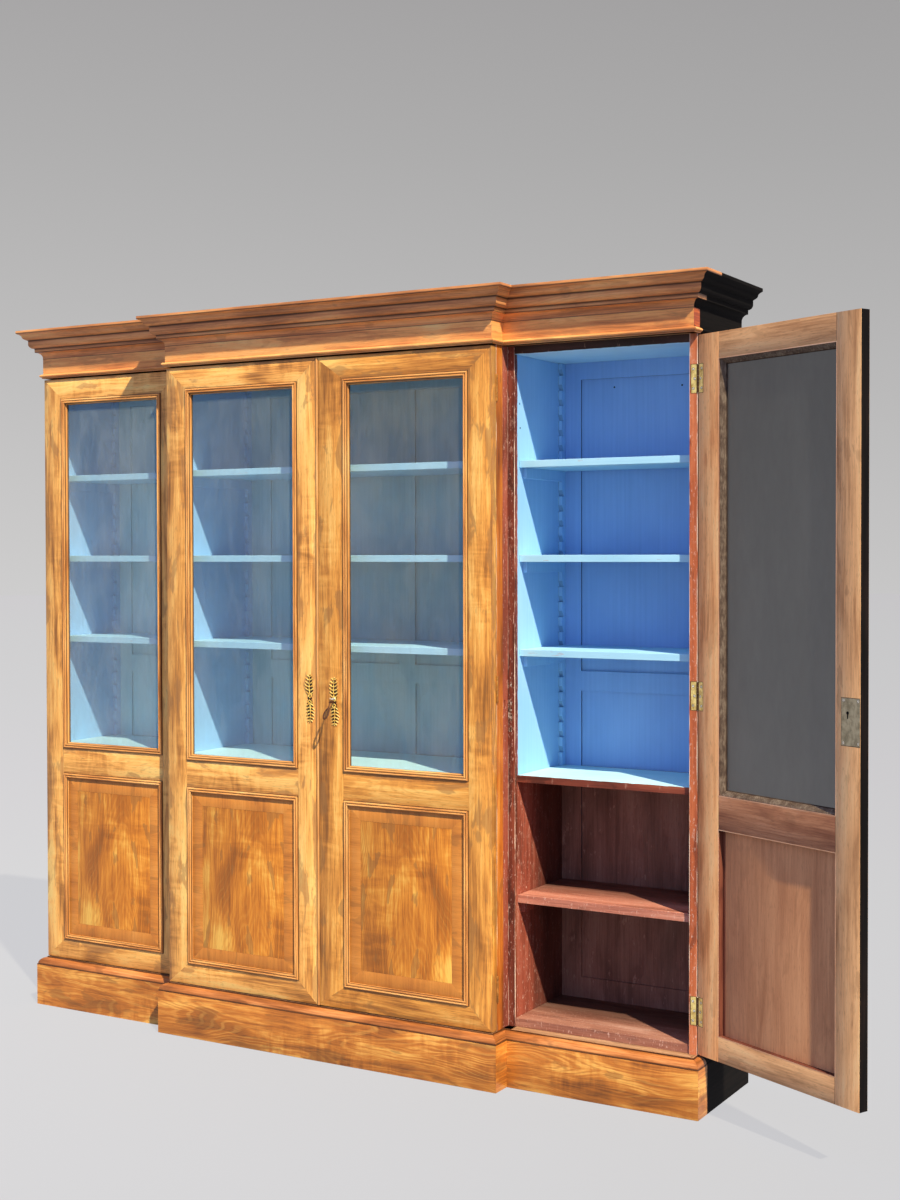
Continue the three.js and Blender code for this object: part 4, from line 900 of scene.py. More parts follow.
def crown_profile():
    """Cove, fillet, ovolo, fillet, cyma and top fillet, one above the other, with dirt and painted shade in
    the quirks. The cyma is a straight slope plus one wave of the sine."""
    steps, out, rise = 14, frieze_out, cornice_top - 89.0
    cove = arc((out + 18, rise), (18, 19), 180, 90, steps)
    out, rise = out + 19, rise + 19
    fillet = np.array([(out, rise), (out + 0.5, rise + 12)])
    out, rise = out + 1, rise + 12
    round_part = arc((out, rise + 15), (14, 14.4), -90, 0, steps)
    out, rise = out + 14, rise + 26
    share = np.linspace(0, 1, steps + 1)
    cyma = np.stack([out + 1 + 27 * (share + 0.13 * np.sin(share * 2 * np.pi)), rise + 1 + 22 * share], -1)
    lip = np.array([(out + 28.5, rise + 23.5), (out + 28.5, cornice_top), (3.3, cornice_top)])
    points = np.concatenate([[(3.3, cornice_top - 92)], cove, fillet, round_part, [(out, rise)], cyma, lip])
    quirks = [0, 1, steps + 2, steps + 4, 2 * steps + 5, 2 * steps + 6, 3 * steps + 7]
    reaches = (2.0, 3.2, 2.4, 4.6, 3.0, 3.0, 2.4)
    return with_dirt_and_shade(points[::-1], [len(points) - 1 - q for q in quirks], reaches)


crown, crown_dirt_and_shade = crown_profile()
front_legs = (0, 6)
crown_run = along_plan(crown, dirt_and_shade=crown_dirt_and_shade, skip=front_legs) + returns(crown, side=1)
# At the ends only the lip and one fillet keep the wood's colour; the rest is painted black as shade.
on_lip = crown[:, 1] > cornice_top - 9.5
on_fillet = (np.abs(crown[:, 0] - 22.3) < 1.2) & (crown[:, 1] < cornice_top - 55)
unshaded_members = on_lip | on_fillet
crown_end_shading = np.where(unshaded_members & np.roll(unshaded_members, -1), 0, 1)
crown_run += lengths(right_end, crown, upright, dirt_and_shade=crown_dirt_and_shade, sides=crown_end_shading, skip=(1,))
crown_run += lengths(left_end, crown, upright, dirt_and_shade=crown_dirt_and_shade, sides=crown_end_shading, skip=(0,))
assemble("crown_run", crown_run, [cornice_wood, shade_black_wood], "carcase",
         ["crown_moulding"])
print("crown profile", len(crown), "corners, reaching out", round(float(crown[:, 0].max()), 1), "mm")

# %% [markdown]
# ## The doors
# Each door is worked out in its own millimetres: across from the hinge pin, back from nothing at the pin's
# plane, and up. `hang` then sets it at its pin, and turns the right wing door open. A door is two stiles
# with three rails between them, veneered on the front with mitred strips, a reeded moulding planted round
# both openings, glass above and a panel below whose figured field has a crossbanded border.

# %% Hanging a door
doors = {
    "left": {"pin": (-1162.5, 29.3), "hand": 1, "width": 575.3, "free": 75.0},
    "centre_left": {"pin": (-584.5, -34.7), "hand": 1, "width": 567.5, "free": 66.5},
    "centre_right": {"pin": (584.5, -34.7), "hand": -1, "width": 597.5, "free": 96.5},
    "right": {"pin": (1162.5, 29.3), "hand": -1, "width": 575.3, "free": 75.0, "open": 154.0},
}
door_foot, door_head, door_face, door_back, edge_gap = 161.0, 2089.0, -29.3, -0.3, 1.5
stile, top_rail, bottom_rail = 75.0, 66.0, 63.0
panel_foot, panel_head, pane_foot, pane_head = 224.0, 781.0, 863.0, 2023.0
panel_front, panel_thick = -26.4, 9.6
hinge_heights, hinge_height = (277.0, 1125.0, 1973.0), 76.0


def hang(door):
    """Point = pin + (hand * across, back) turned by the door's opening angle, with the height kept."""
    angle = np.radians(door.get("open", 0.0))
    turn = np.array([[np.cos(angle), np.sin(angle)], [-np.sin(angle), np.cos(angle)]])

    def place(points):
        flat = points[:, :2] * [door["hand"], 1] @ turn + door["pin"]
        return np.column_stack([flat, points[:, 2]]) * mm

    return place


def on_face(depth):
    """Turns across, up and rise of a profile into across, back and up, with rise measured forward."""
    return lambda points: np.stack([points[:, 0], depth - points[:, 2], points[:, 1]], -1)


def joinery(width, free):
    """Stiles, rails and their front veneers. Finishes: 0 front, 1 inside, 2 the edges of the openings, dark
    as painted shade, 3 middle rail, darker as painted shade, 4 free edge, near black as painted shade, 5
    the hinge stile's inside, lighter as painted light."""
    x0, x1 = edge_gap, edge_gap + width
    sight0, sight1 = x0 + stile + 5, x1 - free - 5
    veneer = 0.9
    deep = door_back - door_face - veneer
    front = door_face + veneer
    parts = []
    tall, plain = door_head - door_foot, (0, 0, 0, 0)
    for x, wide, sides in ((x0, stile + 5, (2, 2, 5, 0)), (sight1, free + 5, (2, 4, 1, 2))):
        parts.append(board((x, front, door_foot), UP, ACROSS, BACK, tall, wide, deep, sides, 0.7))
    rails = (door_foot, panel_foot + 5, 1), (panel_head - 5, pane_foot + 5, 3), (pane_head - 5, door_head, 1)
    for z0, z1, inside in rails:
        parts.append(board((sight0 + 0.1, front, z0), ACROSS, UP, BACK, sight1 - sight0 - 0.2, z1 - z0, deep,
                           (2, 2, inside, 2), 0.5))
    for x, z, along, across, length, wide, sides, before, after in (
        (x0, door_foot, UP, ACROSS, tall, stile, plain, bottom_rail, top_rail),
        (x1, door_foot, UP, (-1, 0, 0), tall, free, (0, 0, 0, 4), bottom_rail, top_rail),
        (x0 + 0.3, door_foot, ACROSS, UP, width - 0.6, bottom_rail, plain, stile, free),
        (x0 + 0.3, door_head, ACROSS, (0, 0, -1), width - 0.6, top_rail, plain, stile, free),
    ):
        parts.append(board((x, door_face, z), along, across, BACK, length, wide - 0.1, veneer, sides, 0.35,
                           (before / wide, -after / wide)))
    parts.append(board((x0 + stile + 0.2, door_face, panel_head), ACROSS, UP, BACK, width - stile - free - 0.4,
                       pane_foot - panel_head, veneer, plain, 0.35))
    return parts


def reeds():
    """A dark quirk of dirt and painted shade, two half-round reeds side by side, a bevel to the lip for the
    glass.
    """
    first, width, high, steps = 1.4, 7.2, 5.0, 8
    rounds = [arc((first + width * (i + 0.5), 0.4), (width / 2, high), 180, 0, steps)[(i > 0):]
              for i in range(2)]
    points = np.concatenate([[(0, 0.15)], *rounds, [(16.8, -0.6), (20, -6), (20, -9), (0, -9)]])
    return with_dirt_and_shade(points, (0, *(1 + steps * np.arange(3)), 4 + 2 * steps), (2.3, 2.1, 2.4, 2.3, 3.0))


def window(x0, x1, z0, z1, inset):
    """A rectangle as a path whose left side is its inside."""
    a, b, c, d = x0 + inset, x1 - inset, z0 + inset, z1 - inset
    return np.array([(a, c), (b, c), (b, d), (a, d)])


def framed(opening, profile, depth, dirt_and_shade=0.0, inset=0.0):
    """A moulding mitred round an opening, standing on the face at a depth."""
    return placed(lengths(window(*opening, inset), profile, closed=True, dirt_and_shade=dirt_and_shade), on_face(depth))


def wavy_pane(x0, x1, z0, z1):
    """Two faces 2.6 mm apart that share one gentle wave, the sum of two sines, as drawn glass has. The wave
    fades to nothing at the edges."""
    rows, columns = 48, 16
    z = np.linspace(z0, z1, rows)[:, None]
    x = np.linspace(x0, x1, columns)[None, :]
    fade = np.sin(np.pi * (x - x0) / (x1 - x0)) * np.sin(np.pi * (z - z0) / (z1 - z0))
    wave = fade * (0.18 * np.sin(x / 61 + z / 143) + 0.12 * np.sin(x / 29 - z / 97 + 1.3))
    front = np.stack([x + 0 * z, -19.8 + wave, z + 0 * x], -1)
    back = np.stack([x + 0 * z, -17.2 + wave, z + 0 * x], -1)[:, ::-1]
    rings = np.concatenate([front, back], 1)
    around = np.linspace(0, 2 * (x1 - x0), 2 * columns + 1) * mm
    return loft(rings, z * mm, around)


def centred(part, across, height):
    """A map whose nought is the middle of the panel, so that arches in the figure can be drawn round it."""
    points = part["points"][part["corners"]]
    return np.stack([points[:, 2] - height, points[:, 0] - across], -1) * mm


reed_profile, reed_dirt_and_shade = reeds()
bead = np.concatenate([[(0, -1)], arc((5, 0), (5, 2.6), 180, 0, 10), [(10.6, -0.4), (10.6, -1)]])
bead, bead_dirt_and_shade = with_dirt_and_shade(bead, (1, 2, 11), 1.6)
dust = {"left": (dusty_film, (0.12, 0.2)), "centre_left": (dusty_film, (0.08, 0.14)),
        "centre_right": (warm_film, (0.06, 0.11))}
lit_edge_profile = [(-2.2, 0.22), (-2.2, 0.6), (0.05, 0.6), (0.05, 0.22)]
# The fillet's dark line against the glass is painted shade of the gap.
fillet, fillet_dirt_and_shade = with_dirt_and_shade([(0.2, 16.8), (14.6, 16.8), (14.0, 15.4), (1.6, 3.0), (0.2, 2.6)], (2,), 2.2)
heart = {"left": 14.0, "centre_left": 32.0, "centre_right": -26.0, "right": 10.0}
border_start, border_end, veneer_thick = 14.0, 58.0, 0.7
inner_edge, lip, hinge_side_shade = 5.0, 5.5, 9.0
for name, door in doors.items():
    place, width, free = hang(door), door["width"], door["free"]
    body = name + "_door"
    x0, x1 = edge_gap + stile, edge_gap + width - free
    front = pale_golden if name.endswith("left") else golden
    finishes = [front, inside_wood, shaded_edge_wood, shaded_rail_inside, shaded_free_edge, lit_hinge_wood]
    assemble(body + "_joinery", placed(joinery(width, free), place), finishes, body,
             [body + "_frame"])
    panes, panels = (x0, x1, pane_foot, pane_head), (x0, x1, panel_foot, panel_head)
    reeding_parts = (framed(panes, reed_profile, door_face, reed_dirt_and_shade)
                     + framed(panels, reed_profile, door_face, reed_dirt_and_shade))
    if name == "centre_right":
        rise = lengths([(edge_gap + width, door_foot), (edge_gap + width, door_head)], bead, dirt_and_shade=bead_dirt_and_shade)
        reeding_parts += placed(rise, on_face(door_face))
    assemble(body + "_reeding", placed(reeding_parts, place), [reeding], body)
    glass = shaded_glass if name == "right" else pane_finish(name + "_glass_finish", *dust[name])
    pane = wavy_pane(x0 + lip, x1 - lip, pane_foot + lip, pane_head - lip)
    assemble(body + "_glass", placed([pane], place), [glass], body, [body + "_pane"])
    beads = framed(panes, fillet, 0.0, fillet_dirt_and_shade, inset=inner_edge)
    assemble(body + "_glazing_fillet", placed(beads, place), [putty], body)
    # Thin pale strips round the openings' inner arrises are painted highlight.
    arris = (framed(panes, lit_edge_profile, 0.0, inset=inner_edge)
             + framed(panels, lit_edge_profile, 0.0, inset=inner_edge))
    assemble(body + "_painted_arris_highlight", placed(arris, place), [arris_highlight], body)
    field = []
    a, b, c, d = x0 + lip, x1 - lip, panel_foot + lip, panel_head - lip
    # A strip along the hinge side of the panel's back is dark as painted shadow of the stile.
    for start, wide, behind in ((a, hinge_side_shade, 2), (a + hinge_side_shade, b - a - hinge_side_shade, 3)):
        field.append(board((start, panel_front + 0.6, c), UP, ACROSS, BACK, d - c, wide, panel_thick,
                           (2, 2, behind, 2), 0.3))
    a, b, c, d = x0 + border_start, x1 - border_start, panel_foot + border_start, panel_head - border_start
    for corner, along, across, size in (
        ((a, panel_front, c), UP, ACROSS, d - c), ((b, panel_front, c), UP, (-1, 0, 0), d - c),
        ((a, panel_front, c), ACROSS, UP, b - a), ((a, panel_front, d), ACROSS, (0, 0, -1), b - a),
    ):
        field.append(board(corner, along, across, BACK, size, border_end - border_start - 0.4, veneer_thick,
                           (1, 1, 1, 1), 0.2, (1.0, -1.0), True))
    figured = board((x0 + border_end, panel_front, panel_foot + border_end), UP, ACROSS, BACK,
                    panel_head - panel_foot - 2 * border_end, x1 - x0 - 2 * border_end, veneer_thick, ease=0.2)
    figured["uv"] = centred(figured, (x0 + x1) / 2 + heart[name], (panel_foot + panel_head) / 2)
    field.append(figured)
    assemble(body + "_panelling", placed(field, place), [flame, crossband, shaded_edge_wood, panel_back], body,
             [body + "_panel"])
print(len(doors), "doors hung")

# %% [markdown]
# ## Hinges
# Each door hangs on three butt hinges. On the open door both leaves show, let into the wood flush, with
# three countersunk screws each and five knuckles round one pin. On the closed doors only the knuckles
# stand out at the corner. A rod is a stack of rings with different radii, so its ends can be rounded
# over; a screw head is the same shape made flat, with a dark slot laid across it and a dark ring round
# it, both painted shade.

# %% Rods, plates and screws
def rod(centre, radii, heights, sides=16):
    """Rings round an upright axis: each point is the centre plus the ring's radius times (cos, sin)."""
    angle = np.linspace(0, 2 * np.pi, sides, endpoint=False)
    radii, heights = np.asarray(radii, float)[:, None], np.asarray(heights, float)[:, None]
    rings = np.stack([centre[0] + radii * np.cos(angle), centre[1] + radii * np.sin(angle),
                      heights + 0 * angle], -1)
    return loft(rings, heights * mm, np.linspace(0, 2 * np.pi * radii.max(), sides + 1) * mm)


def knuckles(foot, head, places=range(5), radius=3.2):
    """The knuckles at the given places of five, stacked on one pin a quarter of a millimetre apart."""
    height, gap, rounding = (head - foot) / 5, 0.25, 0.4
    parts = []
    for i in places:
        low, high = foot + i * height + gap, foot + (i + 1) * height - gap
        parts.append(rod((0, 0), [radius - 0.5, radius, radius, radius - 0.5],
                         [low, low + rounding, high - rounding, high]))
    return parts


def recoloured(parts, finish):
    return [{**part, "finish": np.full(len(part["finish"]), finish)} for part in parts]


def screw(x, z, rise, turn, radius=3.1):
    """A countersunk head with a slot: across, up and rise over the plate. Finishes: 1 head, 2 slot and ring,
    painted shade.
    """
    sides = 14
    head = rod((x, z), [radius, radius, radius - 0.5], [rise - 0.3, rise + 0.05, rise + 0.12], sides)
    ring = rod((x, z), [radius + 0.9, radius + 0.9], [rise - 0.3, rise + 0.03], sides)
    half, wide = radius - 0.5, 0.55
    way, side = np.array([np.cos(turn), np.sin(turn)]), np.array([-np.sin(turn), np.cos(turn)])
    corners = np.array([(-half, -wide), (half, -wide), (half, wide), (-half, wide)])
    outline = corners[:, :1] * way + corners[:, 1:] * side + [x, z]
    return recoloured([head], 1) + recoloured([slab(outline, (rise, rise + 0.16)), ring], 2)


def leaf():
    """A leaf flat on its face: across from the pin, up, and rise. A dark line of painted shade surrounds it."""
    width, start, sunk, rise = 15.4, 4.2, -1.8, 0.1
    plate, _ = eased(width, hinge_height, 1.2)
    line, _ = eased(width + 3.4, hinge_height + 2.6, 1.4)
    parts = [slab(plate + [start, 0], (sunk, rise))]
    parts += recoloured([slab(line + [start - 2.2, -1.3], (sunk, 0.06))], 2)
    for x, z in ((9.4, 12), (5.4, 38), (9.4, 64)):
        parts += screw(x + start, z, rise, luck.uniform(0, np.pi))
    return parts


def on_plane(foot, face, sign):
    """Across, up and rise to the door's own millimetres: the face's depth plus the rise, back or front."""
    return lambda p: np.stack([p[:, 0], face + sign * p[:, 2], foot + p[:, 1]], -1)


# %% Hinges on all doors
metals = [brass, pewter, shade_brass]
shut = {**doors["right"], "open": 0.0}
shaded_knuckle, leaf_gap = 2.5, 0.3
for label, height in zip(("low", "middle", "high"), hinge_heights):
    foot, head = height - hinge_height / 2, height + hinge_height / 2
    fixed = placed(leaf(), on_plane(foot, leaf_gap, -1))
    # The open hinge's own knuckles are thin and dark, painted shade round the bright pin.
    fixed += recoloured(knuckles(foot, head, (0, 2, 4), shaded_knuckle), 2)
    pin = rod((0, 0), [0.6, 1.6, 1.6, 0.6], [foot - 0.9, foot - 0.4, head + 0.4, head + 0.9], sides=10)
    fixed += recoloured([pin], 1)
    assemble(label + "_hinge_fixed_leaf", placed(fixed, hang(shut)), metals, "carcase",
             [label + "_hinge_case_leaf"])
    moving = placed(leaf(), on_plane(foot, -leaf_gap, 1))
    moving += recoloured(knuckles(foot, head, (1, 3), shaded_knuckle), 2)
    assemble(label + "_hinge_moving_leaf", placed(moving, hang(doors["right"])), metals, "right_door",
             [label + "_hinge_door_leaf"])
for name in ("left", "centre_left", "centre_right"):
    parts = []
    for height in hinge_heights:
        parts += knuckles(height - hinge_height / 2, height + hinge_height / 2)
    assemble(name + "_door_knuckles", placed(parts, hang(doors[name])), [old_brass], name + "_door")
print("hinges hung")

# %% [markdown]
# ## Locks
# The wing door's lock is let into the back of its free stile, so the open door shows a dull brass plate
# with a screw in each corner and a keyhole. The keyhole is a round above a slot, laid on as a dark outline
# a hair above the plate, as painted shade of the hole; the dark line round the plate is painted shade too.
# The centre door carries the same lock behind its escutcheon.

# %% Lock plates
def keyhole(x, z, scale=1.0):
    """A round with a slot under it: an arc from one side of the slot over the top to the other."""
    radius, half, drop = 3.4 * scale, 1.4 * scale, 11 * scale
    outline = arc((x, z), (radius, radius), -65, 245, 18)
    return np.concatenate([outline, [(x - half, z - drop), (x + half, z - drop)]])


plate_height, keyhole_height = 115.0, 79.0


def lock_plate(width, backset):
    """Across from the free edge, up from the plate's foot, rise. Its keyhole stands at the backset."""
    sunk, rise = -1.7, 0.14
    plate, _ = eased(width, plate_height, 1.0)
    line, _ = eased(width + 1.4, plate_height + 2.8, 1.0)
    parts = [slab(plate, (sunk, rise))] + recoloured([slab(line + [0, -1.4], (sunk, 0.05))], 2)
    for z in (6.0, plate_height - 6.0):
        for x in (6.0, width - 7.0):
            parts += screw(x, z, rise, luck.uniform(0, np.pi), 3.4)
    return parts + recoloured([slab(keyhole(backset, keyhole_height, 1.3), (0.0, 0.2))], 3)


def from_free_edge(door, foot):
    """Across is measured back from the free edge, on the door's back face."""
    edge = edge_gap + door["width"] - 0.4
    return lambda p: np.stack([edge - p[:, 0], door_back + p[:, 2], foot + p[:, 1]], -1)


lock_metals = [lock_brass, pewter, shade_brass, shade_black_wood]
for name, backset, height, node in (("right", 40.0, 1121.0, "right_door_lock"),
                                    ("centre_right", 65.0, 1070.0, "centre_lock")):
    door = doors[name]
    parts = placed(lock_plate(backset + 20.0, backset), from_free_edge(door, height - keyhole_height))
    assemble(name + "_lock_plate", placed(parts, hang(door)), lock_metals, name + "_door", [node])
for node in ("right_door_bolt", "centre_bolt"):
    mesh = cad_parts[node].data
    mesh.materials.clear()
    mesh.materials.append(brass)
print("locks fitted")

# %% [markdown]
# ## Escutcheons and key
# The two escutcheons are cast brass plumes: leaves in pairs along a spine, a scroll round the keyhole,
# and a pin at each end. A leaf is a thin lens whose rings swell and shrink from root to tip while its
# middle line bends outward. The key's bow is a flat shank that widens to a loop and hangs from its fork.

# %% Leaves, scrolls and plumes
def strand(path, wide, high, sides=8, lift=0.0):
    """A strand whose cross-section is an ellipse: at each point of its path (across, up) it reaches wide
    to both sides and high above and below. The side is the path's direction turned a quarter round."""
    path = np.asarray(path, float)
    way = np.gradient(path, axis=0)
    way /= np.linalg.norm(way, axis=1)[:, None]
    side = np.stack([-way[:, 1], way[:, 0]], -1)
    angle = np.linspace(0, 2 * np.pi, sides, endpoint=False)
    wide, high = np.broadcast_to(wide, len(path)), np.broadcast_to(high, len(path))
    flat = path[:, None] + (wide[:, None] * np.cos(angle))[..., None] * side[:, None]
    rise = lift + high[:, None] * np.sin(angle)
    rings = np.concatenate([flat, rise[..., None]], -1)
    run = np.concatenate([[0], np.cumsum(np.linalg.norm(np.diff(path, axis=0), axis=1))])
    return loft(rings, run * mm, np.linspace(0, 2 * np.pi * wide.max(), sides + 1) * mm)


def plume(top, root, lean):
    """Six pairs of leaves from the root to the top, each bending from the spine outward and upward. A
    leaf's reach shrinks with the cube of its height, its width swells as half a wave of the sine."""
    pairs, bend, longest = 6, lean * 2.2, 17.0
    share = np.linspace(0, 1, 7)
    rise = np.sign(top - root)
    spine = np.stack([bend * np.sin(np.pi * share), root + (top - root) * share], -1)
    parts = [strand(spine, 1.5 - 0.9 * share, 1.5 - 0.8 * share, lift=1.8)]
    for i in range(pairs):
        at = (i + 0.5) / pairs
        start = np.array([bend * np.sin(np.pi * at), root + (top - root) * at])
        length = longest * (1 - 0.5 * at ** 3) * (0.7 + 0.3 * min(1, 3 * at))
        for side in (-1, 1):
            out = side * length * (share ** 0.9)
            up = rise * length * 0.5 * share ** 1.7
            swell = 0.3 + 1.6 * np.sin(np.pi * np.clip(share * 0.9 + 0.08, 0, 1)) ** 0.8
            path = start + np.stack([out, up], -1)
            parts.append(strand(path, swell, 0.3 + 1.0 * np.sin(np.pi * share), 6, 1.5))
    return parts


def escutcheon(horn):
    """Two plumes, one up and one down, an S-shaped scroll between them, and a pin at each end. The thin
    plate behind tapers with the fourth power of its height, has a bell-shaped waist and wavy sides."""
    half_height, half_width = 71.0, 13.0
    share = np.linspace(0, 1, 22)
    parts = plume(70.0, 8.0, -1) + plume(-70.0, -12.0, 1)
    turn = share * 2.6 * np.pi - 0.55 * np.pi
    reach = 6.8 * (1 - 0.35 * share)
    upper = np.stack([reach * np.cos(turn), 8.0 + reach * np.sin(turn)], -1)
    for scroll in (upper, -upper - [0, 4]):
        parts.append(strand(scroll, 1.5 - 0.6 * share, 1.3, lift=1.9))
    for z in (-half_height, half_height):
        parts.append(rod((0, z), [1.9, 1.9, 1.2], [0.3, 1.6, 2.3], 10))
    if horn:
        curve = np.stack([4 - 20 * share, 11 - 12 * share + 11 * share ** 2], -1)
        parts += recoloured([strand(curve, 2.8 * (1 - share) + 0.8, 2.0 * (1 - share) + 0.5, lift=2.6)], 1)
    share = np.linspace(-1, 1, 61)
    taper = 1 - 0.82 * np.abs(share) ** 4
    waist = 1 - 0.35 * np.exp(-(share / 0.16) ** 2)
    half = half_width * taper * waist * (1 - 0.3 * np.abs(np.sin(share * 9 * np.pi)))
    rise = share * half_height
    outline = np.concatenate([np.stack([half, rise], -1), np.stack([-half, rise], -1)[::-1]])
    # The plate behind the leaves is dark as painted shade between them, and the keyhole is a slab of painted
    # shade.
    parts += recoloured([slab(outline, (0.3, 0.9))], 3)
    return parts + recoloured([slab(keyhole(0, 0, 0.85), (0.3, 1.5))], 2)


def on_centre_front(x, z):
    """Across, up and rise over the centre doors' front."""
    front = doors["centre_left"]["pin"][1] + door_face
    return lambda p: np.stack([x + p[:, 0], front - p[:, 2], z + p[:, 1]], -1) * mm


keyholes = {"centre_left": (-37.5, 1077.0), "centre_right": (50.5, 1070.0)}
castings = [glinting_cast_brass, pewter, shade_black_wood, shadow_brass]
for name, (x, z) in keyholes.items():
    parts = placed(escutcheon(name == "centre_right"), on_centre_front(x, z))
    assemble(name + "_plume", parts, castings, name + "_door", [name + "_escutcheon"])
print("escutcheons cast")

# %% Key
# The key's own axis points out of the door at the keyhole: across, up, and out of the front.
key_place = on_centre_front(*keyholes["centre_right"])
collars = [(2.0, -25.0), (2.4, -24.4), (2.4, 3.4), (3.4, 4.0), (3.4, 6.2), (2.5, 6.8), (2.5, 10.0),
           (3.2, 10.6), (3.2, 12.2), (2.6, 14.6)]
shank = rod((0, 0), *zip(*collars))
pin_out = 21.0
fork = [slab([(s * 1.75, -3.0), (s * 4.0, -3.0), (s * 4.0, 3.0), (s * 1.75, 3.0)], (14.2, pin_out + 3))
        for s in (-1, 1)]
pin = strand([(-4.2, 0.0), (-1.4, 0.0), (1.4, 0.0), (4.2, 0.0)], 1.2, 1.2, 8, pin_out)
bit = slab([(-0.9, -9.4), (0.9, -9.4), (0.9, -1.0), (-0.9, -1.0)], (-26.5, -20.5))
assemble("key_shank", placed([shank, *fork, pin, bit], key_place), [iron], "key", ["key"])

hang_angle = np.radians(56)


def bow_place(p):
    """Across stays; the distance along the bow goes forward and down from its pin, turned by the hang."""
    out = pin_out + np.cos(hang_angle) * p[:, 1] - np.sin(hang_angle) * p[:, 2]
    down = -np.sin(hang_angle) * p[:, 1] - np.cos(hang_angle) * p[:, 2]
    return key_place(np.stack([p[:, 0], down, out], -1))


share = np.linspace(0, 1, 25)
stem = strand(np.stack([0 * share, -2.2 + share * 26.0], -1), 1.6 + 1.6 * share ** 3, 1.5, 10)
steps, sides = 40, 10
turn = np.linspace(0, 2 * np.pi, steps, endpoint=False)
middle = np.stack([7.0 * np.sin(turn) * (1 - 0.22 * np.cos(turn)), 38.5 - 17.0 * np.cos(turn)], -1)
inward = np.stack([-np.sin(turn), np.cos(turn)], -1)
angle = np.linspace(0, 2 * np.pi, sides, endpoint=False)
flat = middle[:, None] + (3.1 * np.cos(angle))[None, :, None] * inward[:, None]
rings = np.concatenate([flat, np.broadcast_to((1.6 * np.sin(angle))[None, :, None], (steps, sides, 1))], -1)
loop = loft(np.concatenate([rings, rings[:1]]), np.linspace(0, 80, steps + 1) * mm,
            np.linspace(0, 14, sides + 1) * mm)
# The loop's last ring lies on its first: the two end faces go and the seam's faces use the first ring.
for kind in ("corners", "uv"):
    loop[kind] = loop[kind][:-2 * sides]
for kind in ("totals", "finish"):
    loop[kind] = loop[kind][:-2]
for kind in ("points", "dirt_and_shade", "margin"):
    loop[kind] = loop[kind][:steps * sides]
loop["corners"] = loop["corners"] % (steps * sides)
assemble("key_loop", placed([stem, loop], bow_place), [iron], "key_bow", ["key_bow"])
print("key in its hole")

# %% [markdown]
# ## Stage
# A pale floor without a wall, a warm sun from the right, in front and above, and an even light from all
# round. The camera sees the floor fade into the grey of the world behind it.

# %% Light, floor and backdrop
def looked_at(r):
    """One for rays from the camera, from gloss and through glass: these see the backdrop as it is."""
    paths = r.add("LightPath").node.outputs
    seen = r.math("ADD", paths["Is Camera Ray"], paths["Is Glossy Ray"])
    return r.add("Math", {0: seen, 1: paths["Is Transmission Ray"]}, operation="ADD", use_clamp=True)


def darker_right(r, place, low, high, greys):
    """Eight percent darker toward the right of the view, between two distances along that direction."""
    aside = r.add("VectorMath", {0: place, 1: (0.866, 0.5, 0.0)}, 1, operation="DOT_PRODUCT")
    dim = r.between(aside, low, high, 1.0, 0.92)
    return r.blend(1.0, greys, r.add("CombineColor", {0: dim, 1: dim, 2: dim}), "MULTIPLY")


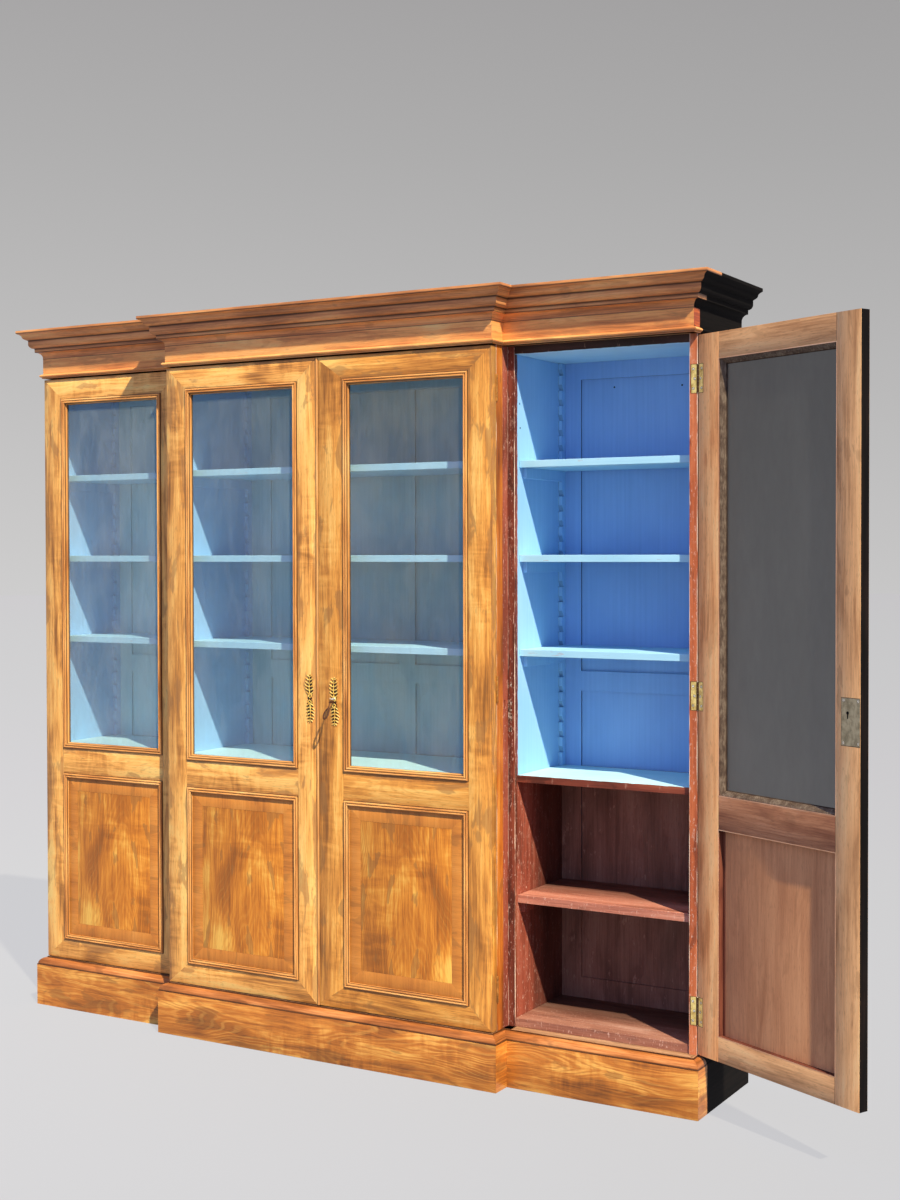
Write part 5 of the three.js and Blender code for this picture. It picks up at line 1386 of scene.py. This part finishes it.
def add_stage():
    mesh = bpy.data.meshes.new("floor")
    sides = 96
    angle = np.linspace(0, 2 * np.pi, sides, endpoint=False)
    radii = np.array([0.0, 4.0, 10.0, 60.0])[:, None]
    points = np.stack([radii * np.cos(angle), radii * np.sin(angle), 0 * radii * angle], -1).reshape(-1, 3)
    inner, spot = np.arange(3)[:, None] * sides, np.arange(sides)[None, :]
    outer, after = inner + sides, (spot + 1) % sides
    quads = np.stack([inner + spot, outer + spot, outer + after, inner + after], -1)
    mesh.from_pydata(points, [], quads.reshape(-1, 4).tolist())
    floor = bpy.data.objects.new("floor", mesh)
    bpy.context.scene.collection.objects.link(floor)
    r = Recipe("floor_grey")
    place = r.add("TexCoord", output=3)
    apart = r.add("VectorMath", {0: place}, 1, operation="LENGTH")
    far = r.math("DIVIDE", apart, r.math("ADD", apart, 6.0))
    greys = r.ramp(far, (0.14, colour(218, 217, 218)), (0.35, colour(216, 215, 215)),
                   (0.54, colour(213, 211, 212)), (0.72, colour(209, 208, 208)),
                   (0.84, colour(207, 206, 206)), (0.91, colour(206, 204, 205)))
    greys = darker_right(r, place, -2.0, 3.0, greys)
    cloth_greys = r.blend(1.0, greys, (0.62, 0.62, 0.65, 1), "MULTIPLY")
    seen = r.math("MINIMUM", looked_at(r), 1.0)
    cloth = r.add("BsdfDiffuse", {"Color": r.blend(seen, (0.2, 0.2, 0.2, 1), cloth_greys), "Roughness": 0.0})
    even = r.add("Emission", {"Color": greys, "Strength": 1.0})
    shown = r.add("MixShader", {0: r.math("MULTIPLY", seen, 0.87), 1: cloth, 2: even})
    r.add("OutputMaterial", {"Surface": shown})
    mesh.materials.append(r.owner)

    world = bpy.data.worlds.new("world")
    bpy.context.scene.world = world
    w = Recipe(world)
    height = w.add("SeparateXYZ", {0: w.add("TexCoord", output=0)}, 2)
    sky = w.ramp(w.add("MapRange", {"Value": height, "From Min": -0.02, "From Max": 0.4}),
                 (0.0, colour(206, 205, 205)), (0.6, colour(176, 175, 175)), (1.0, colour(157, 155, 156)))
    sky = darker_right(w, w.add("TexCoord", output=0), -0.35, 0.35, sky)
    soft = w.add("Background", {"Color": (0.345, 0.46, 0.84, 1), "Strength": 1.0})
    shown = w.add("Background", {"Color": sky, "Strength": 1.0})
    w.add("OutputWorld", {"Surface": w.add("MixShader", {0: looked_at(w), 1: soft, 2: shown})})

    lamp = bpy.data.lights.new("key", "SUN")
    lamp.energy = 5.9
    lamp.angle = np.radians(1.2)
    lamp.color = (1.0, 0.94, 0.72)
    key = bpy.data.objects.new("key", lamp)
    towards = np.array([-1.42, 1.0, -1.82])
    tilt = np.arccos(-towards[2] / np.linalg.norm(towards))
    key.rotation_euler = (tilt, 0, np.arctan2(-towards[0], towards[1]))
    bpy.context.scene.collection.objects.link(key)


add_stage()
bpy.context.scene.view_settings.view_transform = "Standard"
print("stage set")
